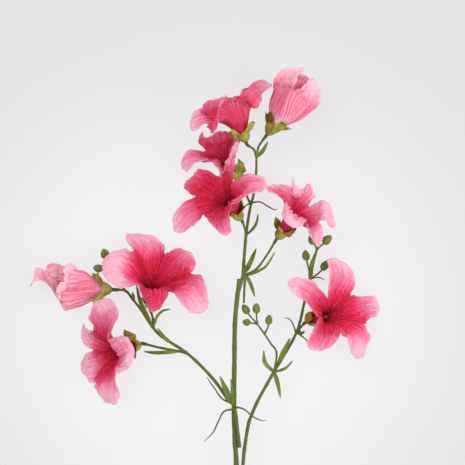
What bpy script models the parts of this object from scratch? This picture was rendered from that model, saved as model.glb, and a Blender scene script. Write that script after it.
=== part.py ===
"""Cut petunia spray lying on a table: nine blooms, three leafy stems, tendrils and buds.

Lengths are in millimetres until the meshes are made, which are in metres. Places are read off
the picture by hand, x to the right and y down in picture squares, and carry a height over the
table. +Y points along the stem to its tip, +Z up.
"""

from typing import NamedTuple

import bpy
import bmesh
import numpy as np

MM = 0.001
SQUARE = 0.8
PICTURE_MIDDLE = 232.5
CAMERA_HEIGHT = 1068.0
FOCUS_HEIGHT = 35.0
FOOTPRINT_SHIFT = (22.6, 70.2)

GAP = 0.3
PETAL_THICKNESS = 0.7
SEPAL_THICKNESS = 0.9
LEAF_THICKNESS = 1.1
TUBE_BASE_RADIUS = 2.8
CALYX_FOOT = -1.9
CUP_DEPTH = 4.5
SEPAL_HALF_WIDTH = 3.8
PRESSED_DEPTH = 2.0
SETTLED_DEPTH = 0.25
LOBE_COLUMNS = 6
JOINED_SHARES = (0.0, 0.47, 0.7, 1.0)
JOINED_ROWS = len(JOINED_SHARES) - 1
FREE_ROWS = 4
LOBE_STEP = 72.0
NOTCH_REACH = 0.4
EDGE_PLACES = ((-1, 0.5), (-1, 1), (0, 1), (1, 1), (1, 0.5), (0, 0.5))


class Tube(NamedTuple):
    """How a corolla widens from its base to the notches between its lobes."""
    base_angle: float = 6.0
    length: float = 19.0
    mouth_angle: float = 12.0
    joined: float = 34.0
    flare: float = 12.0


class Lobe(NamedTuple):
    """One petal lobe. Angles in degrees, lengths in millimetres.

    Its edge gives the picture square and lift of each of EDGE_PLACES, which are across and the
    share of the free blade. More adds other places: across, share, x, y and lift.
    """
    turn: float = 0.0
    length: float = 24.0
    width: float = 28.0
    spread: float = 72.0
    curl: float = 25.0
    twist: float = 0.0
    cup: float = 12.0
    phase: float = 0.0
    edge: tuple = ()
    more: tuple = ()


class Bloom(NamedTuple):
    """A bloom: where its tube starts, where it looks and how its lobes lie.

    A notch gives its lobe's number, its picture square and its lift.
    """
    base: tuple
    azimuth: float
    elevation: float
    roll: float
    lobes: tuple
    tube: Tube = Tube()
    sepal_roll: float = 0.0
    sepal_length: float = 12.0
    sepal_flare: float = 34.0
    notches: tuple = ()


def spot(x, y, height):
    """The place in millimetres of a picture square at a height over the table."""
    reach = SQUARE * (CAMERA_HEIGHT - height) / (CAMERA_HEIGHT - FOCUS_HEIGHT)
    across = (x - PICTURE_MIDDLE) * reach + FOOTPRINT_SHIFT[0]
    along = (PICTURE_MIDDLE - y) * reach + FOOTPRINT_SHIFT[1]
    return (across, along, height)


HALF_SHUT = Tube(22, 16, 31, 38, 16)
BROAD = Tube(14, 15, 28, 34, 20)

BLOOMS = {
    "1": Bloom(spot(269, 132, 36), 54, 8, 18, (
        Lobe(0, 20, 20, 12, -30, phase=1.0, edge=(
            (308, 86, 0), (310.5, 80, 0), (305, 75.5, 0), (297, 73, 0), (289, 78, 0), (299, 84, -3))),
        Lobe(0, 18, 22, 14, -30, phase=2.4, edge=(
            (276, 82, 0), (281, 72, 0), (285, 69, 0), (287, 70, 0), (283, 80, 0), (276, 79, 0))),
        Lobe(-4, 21.5, 22, 14, -35, phase=0.3, edge=(
            (281, 76, 0), (289, 67.5, 0), (304, 67.5, -4), (299, 74.5, 0), (296, 83, 0), (289, 79, 2))),
        Lobe(0, 18, 22, 16, -25, phase=3.6, edge=(
            (302, 88, 0), (312, 79.5, 0), (317.5, 83, -2), (321.5, 94, 0), (320, 103, 0), (311, 95, 0))),
        Lobe(4, 20, 20, 12, -25, phase=5.0, edge=(
            (319, 103, 0), (321, 95, 0), (318, 86, 0), (314, 78, 0), (308, 84, 0), (313, 94, -2)))),
        HALF_SHUT, 4, 14, 24,
        ((1, 276, 93, 0), (2, 282, 91, 0), (3, 293, 91, 0), (4, 315, 108, 0), (5, 303, 90, 0))),
    "2": Bloom(spot(245, 139, 50), 112, 4, 20, (
        Lobe(-12, 34, 30, 62, 12, phase=0.6, edge=(
            (236, 97, 0), (228, 97, 6), (216, 99, 4), (206, 104, 6), (204, 110, 6), (217, 105, 4))),
        Lobe(4, 24, 26, 85, 50, phase=2.2, edge=(
            (200, 108.5, 0), (191, 117, 0), (190, 126, 0), (194, 132, 0), (205, 123.5, 0), (201, 115, 4))),
        Lobe(-16, 20, 22, 85, 60, phase=4.1, edge=(
            (208, 125, 0), (210, 131, 0), (215, 130, 0), (219, 103, -2), (226, 95.5, 0), (217, 116, 2))),
        Lobe(-10, 14, 20, 76, 34, phase=5.3, edge=(
            (237, 95, 0), (246, 88.5, 0), (258, 90, 0), (262, 101, 0), (256, 106.5, 0), (247, 98, 0))),
        Lobe(-25, 18, 24, 68, 20, phase=1.4, edge=(
            (262, 93, 0), (269, 87.5, 0), (272.5, 84.5, 0), (264, 81, 0), (253, 84, 0), (260, 87, 2)))),
        BROAD, 4, 12, 24,
        ((1, 211, 111, 0), (2, 218, 121, 0), (3, 229, 101, 0), (4, 248, 106, 0), (5, 241, 97, 0))),
    "3": Bloom(spot(240, 178, 17), 134, 26, -18, (
        Lobe(-7, 18, 30, 78, 20, phase=3.0, edge=(
            (234, 137, 0), (228, 131.5, 0), (217, 131, 0), (202, 131, 4), (198, 142, 6), (218, 142, 0)),
             more=((0.5, 1, 208, 136.5, 0),)),
        Lobe(-6, 25.5, 26, 72, 35, phase=0.2, edge=(
            (190, 149.5, 4), (182.5, 156, 4), (181, 166, 6), (187, 172.5, 2), (201, 162, 0), (192, 157, 6)),
             more=((0, 0.25, 201, 156, 2),)),
        Lobe(24, 14, 22, 80, 45, phase=1.9, edge=(
            (219, 179, -8), (214, 188, -12), (221, 191, -16), (228, 185, -14), (229, 176, -8), (223, 181, -10)),
             more=((-1, 0.25, 219.5, 171.5, -3),)),
        Lobe(-2, 12, 19, 85, 50, phase=4.4, edge=(
            (229, 170, -4), (232, 167, -6), (234.5, 158, -6), (236, 150, -6), (236, 148, -4), (232, 160, -5))),
        Lobe(15, 8, 16, 88, 60, phase=5.6, edge=(
            (238, 143, 0), (240, 141, 0), (239, 138, 0), (235, 136, 0), (234, 138, 0), (237, 141, 0)))),
        Tube(), 4, 15, 22,
        ((1, 206, 151.5, 0), (2, 213.5, 162, -1), (3, 228, 171, -3), (4, 236, 147, 0), (5, 233, 141, 0))),
    "4": Bloom(spot(239.5, 217, 50), 125, 45, 19, (
        Lobe(4, 21.5, 34, 70, 25, phase=0.9, edge=(
            (208, 170.5, 0), (196, 168, -2), (189, 179, 0), (186, 190, 3), (190, 194, 2), (201, 183, 0)),
             more=((-0.5, 1, 195, 172, 2),)),
        Lobe(2, 29.5, 26, 72, 25, phase=3.2, edge=(
            (183, 204, 0), (173, 220, 0), (175, 232, 0), (186, 230, 0), (197, 223, 0), (189, 213, 0))),
        Lobe(-6, 25.5, 26, 72, 25, phase=5.1, edge=(
            (210, 223, 0), (219, 233, 0), (226, 237, 0), (232, 232, 0), (230, 218, 0), (220, 222, 0))),
        Lobe(5, 17.5, 26, 72, 25, phase=2.0, edge=(
            (247, 195.5, 0), (261, 192, 0), (267, 186, 0), (264, 177, 0), (250, 174, 0), (250, 186, 2))),
        Lobe(8, 28.5, 22, 60, 25, 60, phase=0.0, edge=(
            (235, 161, -4), (238, 150, -4), (237, 141, 0), (232, 149, 4), (225, 163, 6), (230, 161, 3)))),
        Tube(), 4, 12, 26,
        ((1, 197, 197, 0), (2, 204, 214, 0), (3, 231, 204, 0), (4, 233, 181, -2), (5, 222, 179, 0))),
    "5": Bloom(spot(279, 236, 26), 55, 32, 15, (
        Lobe(11, 22.5, 30, 72, 8, phase=4.0, edge=(
            (312, 200, 0), (314.5, 195, 0), (304, 187, 0), (292, 176, 6), (291, 190, 6), (301, 196, -2)),
             more=((0.55, 1, 298, 189, 0), (0.55, 0.5, 297, 197, 2))),
        Lobe(23, 17, 26, 40, 5, phase=1.1, edge=(
            (290.5, 188, -8), (281, 184, -12), (267, 186, -12), (270, 190, -14), (277, 196, -14), (281, 191, -12))),
        Lobe(12, 18, 27, 45, 80, phase=2.8, edge=(
            (284, 204, 0), (281.5, 213, 0), (286, 223, 0), (296, 227.5, 0), (303, 225, 0), (288, 213, 4))),
        Lobe(-4, 22, 22, 72, 15, phase=0.4, edge=(
            (310, 232, 0), (315, 243.5, 0), (319, 247, 0), (321.5, 240, 0), (320.5, 228, 0), (315.5, 230, 2))),
        Lobe(-12, 16.5, 28, 72, 5, phase=5.5, edge=(
            (326.5, 223, 1), (333, 228, 2), (335, 223, 2), (330, 206, 2), (320.5, 200.5, 2), (324, 211, 2)))),
        Tube(), 4, 13, 26,
        ((1, 291, 199, -2), (2, 288, 201, 0), (3, 305, 221, 0), (4, 317, 219, 0), (5, 308, 206, 0))),
    "6": Bloom(spot(310, 321, 7), 20, 50, -12, (
        Lobe(5, 31, 30, 74, 14, phase=2.5, edge=(
            (369, 318.5, 0), (376.5, 317, -2), (378.5, 306, -4), (374, 295, 0), (361, 296.5, 0), (362, 308, -1.5))),
        Lobe(0, 28, 28, 72, 25, phase=0.8, edge=(
            (355.5, 283, 0), (351.5, 269.5, 0), (339, 259, 0), (326.5, 260, 0), (329, 279, 0), (342, 278, 0))),
        Lobe(-1, 34.5, 26, 72, 25, phase=4.7, edge=(
            (314, 282, 0), (300, 277.5, 0), (289, 281, 0), (293, 293, 0), (303, 300, 0), (308, 290, 0))),
        Lobe(1, 21.5, 28, 72, 25, phase=3.5, edge=(
            (311, 334, 0), (306, 343, 0), (315, 350.5, 0), (331, 347.5, 0), (338.5, 338, 0), (323, 338, 0))),
        Lobe(5, 22, 30, 72, 25, phase=1.7, edge=(
            (348.5, 341, 0), (351.5, 354, 0), (358, 358.5, 0), (366.5, 350, 0), (369.5, 338, 0), (358, 339, 0)))),
        Tube(), 36, 13, 20,
        ((1, 350, 296, 0), (2, 328, 299, 0), (3, 319, 318, 0), (4, 341, 332, 0), (5, 364, 324, 0))),
    "7": Bloom(spot(150, 305, 12), 88, 50, 20, (
        Lobe(-4, 33.5, 27, 72, 25, phase=5.8, edge=(
            (164.5, 246, 0), (153, 235, 0), (129, 232, 0), (126.5, 240, 0), (132, 249, 4), (147, 245, 0))),
        Lobe(-15, 22.5, 31, 72, 28, phase=1.3, edge=(
            (122, 248.5, -2), (106, 256, 0), (101.5, 268, 0), (108, 281.5, 0), (122, 288, 0), (119, 268, 2))),
        Lobe(24, 16.5, 20, 60, 25, phase=3.9, edge=(
            (141, 296, 0), (146, 305, 0), (152.5, 313, 0), (158.5, 307, 0), (166, 295, 0), (153, 299, 4))),
        Lobe(5, 33, 34, 72, 25, phase=2.1, edge=(
            (177, 298, 0), (190, 311, 0), (203.5, 311, 0), (207, 292, 0), (202, 276, 0), (189, 291, 0))),
        Lobe(-2, 25.5, 34, 72, 25, phase=0.5, edge=(
            (192, 271, 0), (196, 264, 0), (192, 253.5, 0), (180, 248.5, 0), (171, 250.5, 0), (181, 260, 0)))),
        Tube(), 30, 11, 24,
        ((1, 139, 257, 0), (2, 138, 285, 0), (3, 168, 287, 0), (4, 189, 273, 0), (5, 165, 255, 0))),
    "8": Bloom(spot(109, 289.5, 20), 178, 4, 36, (
        Lobe(0, 18, 19, 9, 0, phase=0.7, edge=(
            (46, 270, 4), (37, 270, 2), (33, 279, 0), (31, 286.5, 0), (47, 284.5, 0), (43, 277, 4))),
        Lobe(0, 16, 21, 12, -10, phase=2.9, edge=(
            (58, 298, 0), (56, 295, 0), (58, 299, 0), (62, 303, 0), (64, 304, 0), (61, 300, 0))),
        Lobe(3, 26.5, 21, 8, 0, phase=4.3, edge=(
            (59, 298, 0), (56, 293, -2), (57, 287, -2), (61, 282, 0), (65, 283, 0), (61, 291, 0))),
        Lobe(-6, 22, 21, 14, 0, phase=1.6, edge=(
            (64, 281, 2), (62.5, 272, 2), (67, 264.5, 0), (73, 264.5, 0), (77, 269, 0), (71, 275, -5))),
        Lobe(0, 18, 19, 9, 0, phase=5.2, edge=(
            (62, 265, 0), (53, 262, 0), (46, 268, 0), (49, 284, 0), (55, 288, 0), (55, 275, 0)))),
        HALF_SHUT, 4, 14, 26,
        ((1, 68, 308, 0), (2, 63, 302, 0), (3, 69, 287, 0), (4, 78, 271, 0), (5, 62, 285, 0))),
    "9": Bloom(spot(138, 345, 10.8), 195, 40, -50, (
        Lobe(0, 18, 22, 72, 25, phase=3.3, edge=(
            (89, 330, 0), (84, 322.5, 0), (81.5, 332, 0), (83, 341, 0), (88, 347.5, 0), (90, 338, 0))),
        Lobe(0, 25.5, 26, 74, 18, phase=0.1, edge=(
            (87, 353, 0), (82, 361, 0), (82, 371, 0), (89, 380.5, -2), (95, 383, 0), (91, 367, 0))),
        Lobe(-12, 22.5, 24, 72, 25, phase=5.4, edge=(
            (94, 389, 0), (101, 398, 0), (110, 403, 0), (117.5, 403.5, 0), (119.5, 390, 0), (106, 390, 0))),
        Lobe(-8, 19, 27, 62, 55, phase=1.8, edge=(
            (118, 373.5, 0), (128, 370, 0), (134.5, 354, 0), (129, 338.5, 0), (119, 336, 0), (127, 354, 2))),
        Lobe(-1, 33.5, 28, 72, 25, phase=4.5, edge=(
            (117.5, 320, 0), (117, 307, 0), (110, 298.5, 0), (95, 302, 0), (89.5, 315, 0), (103, 315, 0)))),
        Tube(), 52, 13.5, 50,
        ((1, 94, 350, 0), (2, 96.5, 381.5, 0), (3, 115, 371, 0), (4, 108, 339, 0), (5, 93.5, 331, 0))),
}


class Stalk(NamedTuple):
    """A round stalk or tendril through hand-set places, tapering."""
    path: tuple
    start: float
    end: float
    sides: int = 5
    steps: int = 2


class Leaf(NamedTuple):
    """A narrow blade along hand-set places, pointed at both ends."""
    path: tuple
    width: float
    fold: float = 0.25
    steps: int = 2


class Bud(NamedTuple):
    """A closed bud on its stalk's end, from its foot to its tip."""
    foot: tuple
    tip: tuple
    radius: float = 3.0


MAIN_STEM = (
    Stalk((spot(236, 560, 2.7), spot(236.4, 515, 9), spot(236.4, 465, 18), spot(235, 440, 22.5),
           spot(234, 405, 27), spot(234.5, 362, 30), spot(235, 325, 31), spot(237, 300, 31.5),
           spot(239.6, 279, 32)), 2.25, 1.9, 8, 1),
    Stalk((spot(238.6, 291, 31.6), spot(242.7, 276, 31.5), spot(244, 260, 31), spot(246.4, 232.7, 31),
           spot(250, 209, 31), spot(254, 192.7, 31), spot(256.3, 171, 32.5), spot(256.3, 154, 35)),
          1.5, 1.25),
    Stalk((spot(250.6, 204, 31), spot(246.4, 195, 28), spot(244.5, 188, 22), "3"), 1.15, 1.0),
    Stalk((spot(246, 236, 31), spot(245, 229, 35), "4"), 1.15, 1.0),
    Stalk((spot(244.4, 275, 31.2), spot(256.4, 269, 28), spot(267.3, 254.5, 24), "5"), 1.2, 1.05),
    Stalk((spot(256.3, 156, 34.7), spot(253.8, 149.5, 40), "2"), 1.15, 1.0),
    Stalk((spot(256.3, 156, 34.7), spot(259, 146, 36), "1"), 1.15, 1.0),
    Stalk((spot(245.4, 275, 31.2), spot(244.4, 287, 31.5), spot(243.8, 303, 31)), 1.15, 0.9),
    Stalk((spot(250.8, 203, 31), spot(260, 202, 32), spot(268, 206.5, 31), spot(274, 209.5, 29),
           spot(278, 209, 28)), 0.7, 0.5),
    Stalk((spot(250.6, 203, 31), spot(244.2, 206.4, 30)), 0.6, 0.45),
    Leaf((spot(246.4, 235, 31.4), spot(253.5, 228, 33), spot(257, 221, 34), spot(258, 213.7, 34)), 2.4),
    Leaf((spot(245, 275.4, 31.4), spot(254, 272.6, 32.5), spot(265.5, 266.5, 33), spot(275, 252, 31)), 2.6),
    Leaf((spot(244.6, 272, 31.4), spot(250, 263, 34), spot(256.4, 248, 36)), 4.2),
    Leaf((spot(244.8, 273.5, 31), spot(250.6, 284, 30), spot(255, 297, 27)), 3.2),
    Leaf((spot(256.4, 157, 34.7), spot(262.6, 151, 38), spot(268, 141.5, 40.5)), 3.4),
    Leaf((spot(256.4, 157, 35), spot(257.2, 152.6, 37.6), spot(257, 149, 39.6)), 2.2, 0.2, 1),
)

LEFT_BRANCH = (
    Stalk((spot(239.6, 447, 23.4), spot(237.4, 428, 27.4), spot(234.4, 407, 30.8), spot(227, 398, 31),
           spot(215.4, 381.6, 27.5), spot(200.7, 365.5, 25), spot(186, 352.3, 22),
           spot(171.4, 342.8, 19.5), spot(159.6, 334.7, 17.5), spot(150.8, 324.4, 15.5),
           spot(142, 311, 14), spot(133, 299.5, 13), spot(125.9, 291, 14), "8"), 1.5, 1.05, 6, 1),
    Stalk((spot(153, 327.5, 16), spot(153, 319, 11), "7"), 1.15, 1.0),
    Stalk((spot(186.5, 352.6, 22), spot(170, 349.6, 17), spot(157, 347, 12), "9"), 1.2, 1.0),
    Stalk((spot(126.2, 291.6, 13.8), spot(117, 280, 11), spot(110, 266, 9.5), spot(106.4, 258, 9)), 0.9, 0.7),
    Stalk((spot(114.5, 275, 10.6), spot(107, 269.6, 9), spot(102, 268.8, 8.5)), 0.8, 0.7),
    Stalk((spot(232, 403.6, 31.6), spot(222, 398.5, 31), spot(215, 389, 31.5), spot(206.6, 377, 32)), 0.8, 0.5),
    Stalk((spot(234.4, 409, 31.4), spot(224, 411.5, 31), spot(218, 422, 27), spot(212.7, 432.7, 23),
           spot(203.6, 441.8, 21)), 0.8, 0.5),
    Stalk((spot(234.4, 407, 31.8), spot(243.6, 409, 34), spot(252.7, 416.4, 32), spot(260, 420, 30),
           spot(266.4, 420.4, 29)), 0.8, 0.5),
    Leaf((spot(230.6, 402, 31.5), spot(226.4, 391, 34.5), spot(219.8, 375.8, 36)), 4.8),
    Leaf((spot(233, 404.4, 32), spot(232.8, 392, 35.5), spot(230.8, 378.7, 37)), 3.4),
    Leaf((spot(152.6, 327, 16), spot(144.6, 315, 14), spot(138, 301, 11), spot(135.6, 287, 9)), 3.8),
    Leaf((spot(153.4, 327.6, 16), spot(157, 316.6, 15), spot(162.6, 311, 14), spot(170.5, 309, 13)), 2.4),
    Leaf((spot(170.4, 342.4, 19.6), spot(164, 337, 22), spot(157.4, 328, 23)), 3.2),
    Leaf((spot(178, 351.4, 19.8), spot(165.5, 352.4, 16), spot(154, 352.6, 12), spot(143.5, 351.5, 8.6)), 3.2),
    Leaf((spot(133.8, 300, 13), spot(133.4, 296.6, 15.6), spot(132.6, 292, 17)), 2.6, 0.2, 2),
    Bud(spot(106.6, 258.6, 9), spot(103.4, 248.6, 8.6), 3.2),
    Bud(spot(102.6, 268.9, 8.5), spot(93, 267.4, 8), 3.0),
)

RIGHT_BRANCH = (
    Stalk((spot(241.3, 500, 12.2), spot(241.8, 482, 15.5), spot(243, 465, 18), spot(244.5, 449, 20),
           spot(248.2, 425.5, 23), spot(251.8, 414.5, 24), spot(258.2, 400, 24.5),
           spot(267.3, 383.6, 24), spot(274.5, 371, 23), spot(281.8, 359, 21.5), spot(289, 347, 19.5),
           spot(296.4, 332.7, 17), spot(300.5, 320, 15), spot(304.5, 301.8, 13), spot(310.9, 276.4, 13),
           spot(313.6, 261.8, 14), spot(317.3, 248, 15)), 1.65, 1.0, 6, 1),
    Stalk((spot(297.4, 331, 16.6), spot(300, 328, 10), spot(303, 324.6, 5), "6"), 1.1, 1.0),
    Stalk((spot(274.5, 371, 23), spot(276.6, 352.7, 26), spot(270.9, 343.6, 27), spot(263.6, 332.7, 28),
           spot(257, 323.5, 28)), 0.95, 0.7),
    Stalk((spot(257.4, 324, 28), spot(251, 317, 27.4), spot(247.6, 312.6, 27)), 0.7, 0.65),
    Stalk((spot(257.4, 324, 28), spot(256.6, 317, 29), spot(256.6, 312.6, 30)), 0.7, 0.65),
    Stalk((spot(257.4, 324, 28), spot(252, 323, 26.5), spot(249.6, 322.6, 26)), 0.7, 0.65),
    Stalk((spot(264.4, 334, 28), spot(267.6, 328, 29), spot(268.6, 323.6, 29.6)), 0.7, 0.65),
    Stalk((spot(296.2, 333.4, 17), spot(292.7, 323.6, 17), spot(289, 319, 16), spot(284.5, 317.6, 15)), 0.7, 0.5),
    Stalk((spot(296.8, 332.6, 16.8), spot(303.6, 337.6, 13), spot(308, 342, 10), spot(310.8, 350, 7)), 0.7, 0.5),
    Stalk((spot(310.6, 278.6, 13), spot(308, 266, 13.4), spot(306.6, 259.6, 13.4)), 0.8, 0.65),
    Stalk((spot(310.6, 279, 13), spot(318.3, 273.4, 8.6), spot(322.4, 269.4, 7)), 0.8, 0.65),
    Stalk((spot(311.4, 278.4, 12), spot(319, 277.4, 7.4), spot(324.7, 280, 6)), 0.6, 0.5),
    Stalk((spot(317, 249, 15), spot(315.2, 245.6, 16), spot(314, 243.4, 16.6)), 0.8, 0.7),
    Stalk((spot(317, 249, 15), spot(321.6, 245.2, 16), spot(324, 243.2, 16.4)), 0.8, 0.7),
    Leaf((spot(274, 372, 23), spot(265, 362.6, 26), spot(263.6, 350, 28)), 3.4),
    Leaf((spot(277.8, 365, 22.4), spot(283.6, 352, 26), spot(290, 337.8, 28)), 4.2),
    Leaf((spot(274.4, 372, 22.8), spot(285.5, 368, 20), spot(292.7, 360.5, 18)), 2.4),
    Leaf((spot(273.8, 370.6, 22.8), spot(277.8, 384, 20), spot(280.5, 398.2, 16)), 3.6),
    Leaf((spot(298.2, 328.8, 16.2), spot(301, 333.4, 18), spot(304.8, 331, 18)), 2.6, 0.2, 2),
    Leaf((spot(310.2, 279.6, 13.2), spot(312.8, 267, 18), spot(315, 253.4, 20)), 3.0),
    Bud(spot(248.4, 313.6, 27.2), spot(242.8, 304.4, 26.6), 2.7),
    Bud(spot(256.6, 313.2, 30), spot(256.4, 303, 31), 2.8),
    Bud(spot(250.4, 322.7, 26.2), spot(242.4, 321.6, 25), 2.5),
    Bud(spot(268.4, 324.6, 29.4), spot(269.6, 314.6, 30), 2.6),
    Bud(spot(306.8, 260.4, 13.4), spot(305, 250, 13), 2.8),
    Bud(spot(321.8, 270, 7.2), spot(328.6, 260.6, 6.4), 2.9),
    Bud(spot(314.4, 244.2, 16.4), spot(309.8, 235, 18), 3.0),
    Bud(spot(323.4, 243.8, 16.2), spot(331.4, 235.6, 17), 3.1),
)

STEMS = {"main_stem": MAIN_STEM, "left_branch": LEFT_BRANCH, "right_branch": RIGHT_BRANCH}

COLOURS = {
    "petal": (0.80, 0.17, 0.30),
    "pale_petal": (0.86, 0.42, 0.50),
    "sepal": (0.27, 0.29, 0.05),
    "stem": (0.16, 0.20, 0.05),
    "pistil": (0.70, 0.42, 0.16),
}


def material(name, colour, roughness):
    """A plain material of one colour."""
    made = bpy.data.materials.new(name)
    made.use_nodes = True
    shader = made.node_tree.nodes["Principled BSDF"]
    shader.inputs["Base Color"].default_value = (*colour, 1.0)
    shader.inputs["Roughness"].default_value = roughness
    return made


def smooth(share):
    """The soft step 3t^2 - 2t^3 of a share held between 0 and 1."""
    held = np.clip(share, 0.0, 1.0)
    return held * held * (3.0 - 2.0 * held)


def bloom_axes(bloom):
    """The bloom's own axes as rows: fore, side and the way it looks."""
    azimuth, elevation = np.radians((bloom.azimuth, bloom.elevation))
    fore = (np.cos(azimuth) * np.sin(elevation), np.sin(azimuth) * np.sin(elevation), -np.cos(elevation))
    side = (-np.sin(azimuth), np.cos(azimuth), 0.0)
    look = (np.cos(azimuth) * np.cos(elevation), np.sin(azimuth) * np.cos(elevation), np.sin(elevation))
    return np.array((fore, side, look))


def placed(bloom, points):
    """Points of the bloom's own axes moved to the spray."""
    return np.asarray(points) @ bloom_axes(bloom) + np.array(bloom.base)


def meridian(tube, lobe, reached):
    """Radius, height and slope at an arc length along a lobe's middle line."""
    steps = np.linspace(0.0, tube.joined + 1.3 * lobe.length, 400)
    base, mouth, spread = np.radians((tube.base_angle, tube.mouth_angle, lobe.spread))
    slope = base + (mouth - base) * smooth(steps / tube.length)
    slope = slope + (spread - mouth) * smooth((steps - tube.length + 3.0) / tube.flare)
    free = np.clip((steps - tube.joined) / lobe.length, 0.0, 1.3)
    slope = slope + np.radians(lobe.curl) * free ** 1.4
    middle = (slope[1:] + slope[:-1]) / 2.0
    radius = TUBE_BASE_RADIUS + np.concatenate(([0.0], np.cumsum(np.sin(middle)) * steps[1]))
    height = np.concatenate(([0.0], np.cumsum(np.cos(middle)) * steps[1]))
    return np.interp(reached, steps, radius), np.interp(reached, steps, height), np.interp(reached, steps, slope)


def tube_radius(bloom, height):
    """The tube's radius at a height over its base, and one over the cosine of its slope there."""
    spread = float(np.mean([lobe.spread for lobe in bloom.lobes]))
    reached = np.array(JOINED_SHARES) * bloom.tube.joined
    radius, high, _ = meridian(bloom.tube, Lobe(spread=spread), reached)
    just_over = np.interp(height + 0.5, high, radius)
    just_under = np.interp(height - 0.5, high, radius)
    return np.interp(height, high, radius), np.hypot(1.0, just_over - just_under)


def lobe_surface(tube, lobe, centre, across, reached, free):
    """Points of one lobe: round the tube where joined, an arched blade where free."""
    radius, height, slope = meridian(tube, lobe, reached)
    sector = np.radians(LOBE_STEP / 2.0)
    split = meridian(tube, lobe, np.array([tube.joined]))[0][0] * sector
    rise = np.sin(np.clip(free / 0.5, 0.0, 1.0) * np.pi / 2.0)
    narrow = 1.0 - 0.42 * np.clip((free - 0.5) / 0.5, 0.0, 1.0) ** 1.8
    half = np.where(free > 0.0, (split + (lobe.width / 2.0 - split) * rise) * narrow, radius * sector)
    turn = np.radians(centre)
    round_by = turn + across * half / radius
    joined = np.stack((radius * np.cos(round_by), radius * np.sin(round_by), height), -1)
    outward = np.array((np.cos(turn), np.sin(turn), 0.0))
    sideways = np.array((-np.sin(turn), np.cos(turn), 0.0))
    upward = np.array((0.0, 0.0, 1.0))
    inward = np.sin(slope)[..., None] * upward - np.cos(slope)[..., None] * outward
    bend = sector * np.cos(slope) * (1.0 - smooth(free / 0.5)) + np.radians(lobe.cup) * smooth(free / 0.5)
    bend = np.where(np.abs(bend) < 0.001, 0.001, bend)
    twist = (np.radians(lobe.twist) * smooth(free))[..., None]
    wide = sideways * np.cos(twist) + inward * np.sin(twist)
    normal = inward * np.cos(twist) - sideways * np.sin(twist)
    wave = across ** 2 * smooth(free / 0.3) * np.sin(8.2 * free + lobe.phase + 1.5 * np.sign(across))
    sidestep = (half * np.sin(bend * across) / bend)[..., None]
    lift = (half * (1.0 - np.cos(bend * across)) / bend + wave)[..., None]
    ridge = radius[..., None] * outward + height[..., None] * upward
    blend = smooth(free / 0.45)[..., None]
    return (1.0 - blend) * joined + blend * (ridge + sidestep * wide + lift * normal)


def pulled(points, side, blade, lobe):
    """A lobe's points, drawn so that the places of its edge meet their picture squares.

    Where no place is named on a side's first quarter, it is drawn half-way from the notch to the
    next one. A place's reach is a Gaussian of across and share, and the weights are solved together.
    """
    pulls = [(*place, *square) for place, square in zip(EDGE_PLACES, lobe.edge)] + list(lobe.more)
    spots = np.array([pull[:2] for pull in pulls])
    columns = np.rint((spots[:, 0] + 1.0) / 2.0 * LOBE_COLUMNS).astype(int)
    rows = JOINED_ROWS + np.rint(spots[:, 1] * FREE_ROWS).astype(int)
    held = points[rows, columns]
    wanted = np.array([spot(x, y, high + lift) for (_, _, x, y, lift), high in zip(pulls, held[:, 2])])
    for end, half_way in ((0, 0), (-1, 4)):
        if (side[0, end], 0.25) not in {pull[:2] for pull in pulls}:
            spots = np.vstack((spots, (side[0, end], 0.25)))
            held = np.vstack((held, points[JOINED_ROWS + 1, end]))
            wanted = np.vstack((wanted, (points[JOINED_ROWS, end] + wanted[half_way]) / 2.0))

    def reach(over, along):
        return np.exp(-((over[..., None] - spots[:, 0]) / 0.9) ** 2 - ((along[..., None] - spots[:, 1]) / 0.4) ** 2)

    weights = np.linalg.solve(reach(*spots.T), wanted - held)
    return points + (reach(side, blade) * smooth(blade / 0.25)[..., None]) @ weights


def notched(grids, side, tube_part, blade, notches):
    """The lobes' points, their notches drawn to picture squares and the mouth between them along."""
    lobes = np.array([notch[0] - 1 for notch in notches])
    round_by = np.arange(5.0)[:, None, None] + side / 2.0
    away = (round_by[..., None] - (lobes + 0.5) + 2.5) % 5.0 - 2.5
    between = (lobes[:, None] - lobes[None] + 2.5) % 5.0 - 2.5
    held = grids[lobes, JOINED_ROWS, -1]
    wanted = np.array([spot(x, y, high + lift) for (_, x, y, lift), high in zip(notches, held[:, 2])])
    weights = np.linalg.solve(np.exp(-(between / NOTCH_REACH) ** 2), wanted - held)
    share = smooth((tube_part - 0.42) / 0.58) * (1.0 - smooth(blade / 0.7))
    return grids + (np.exp(-(away / NOTCH_REACH) ** 2) * share[..., None]) @ weights


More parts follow.
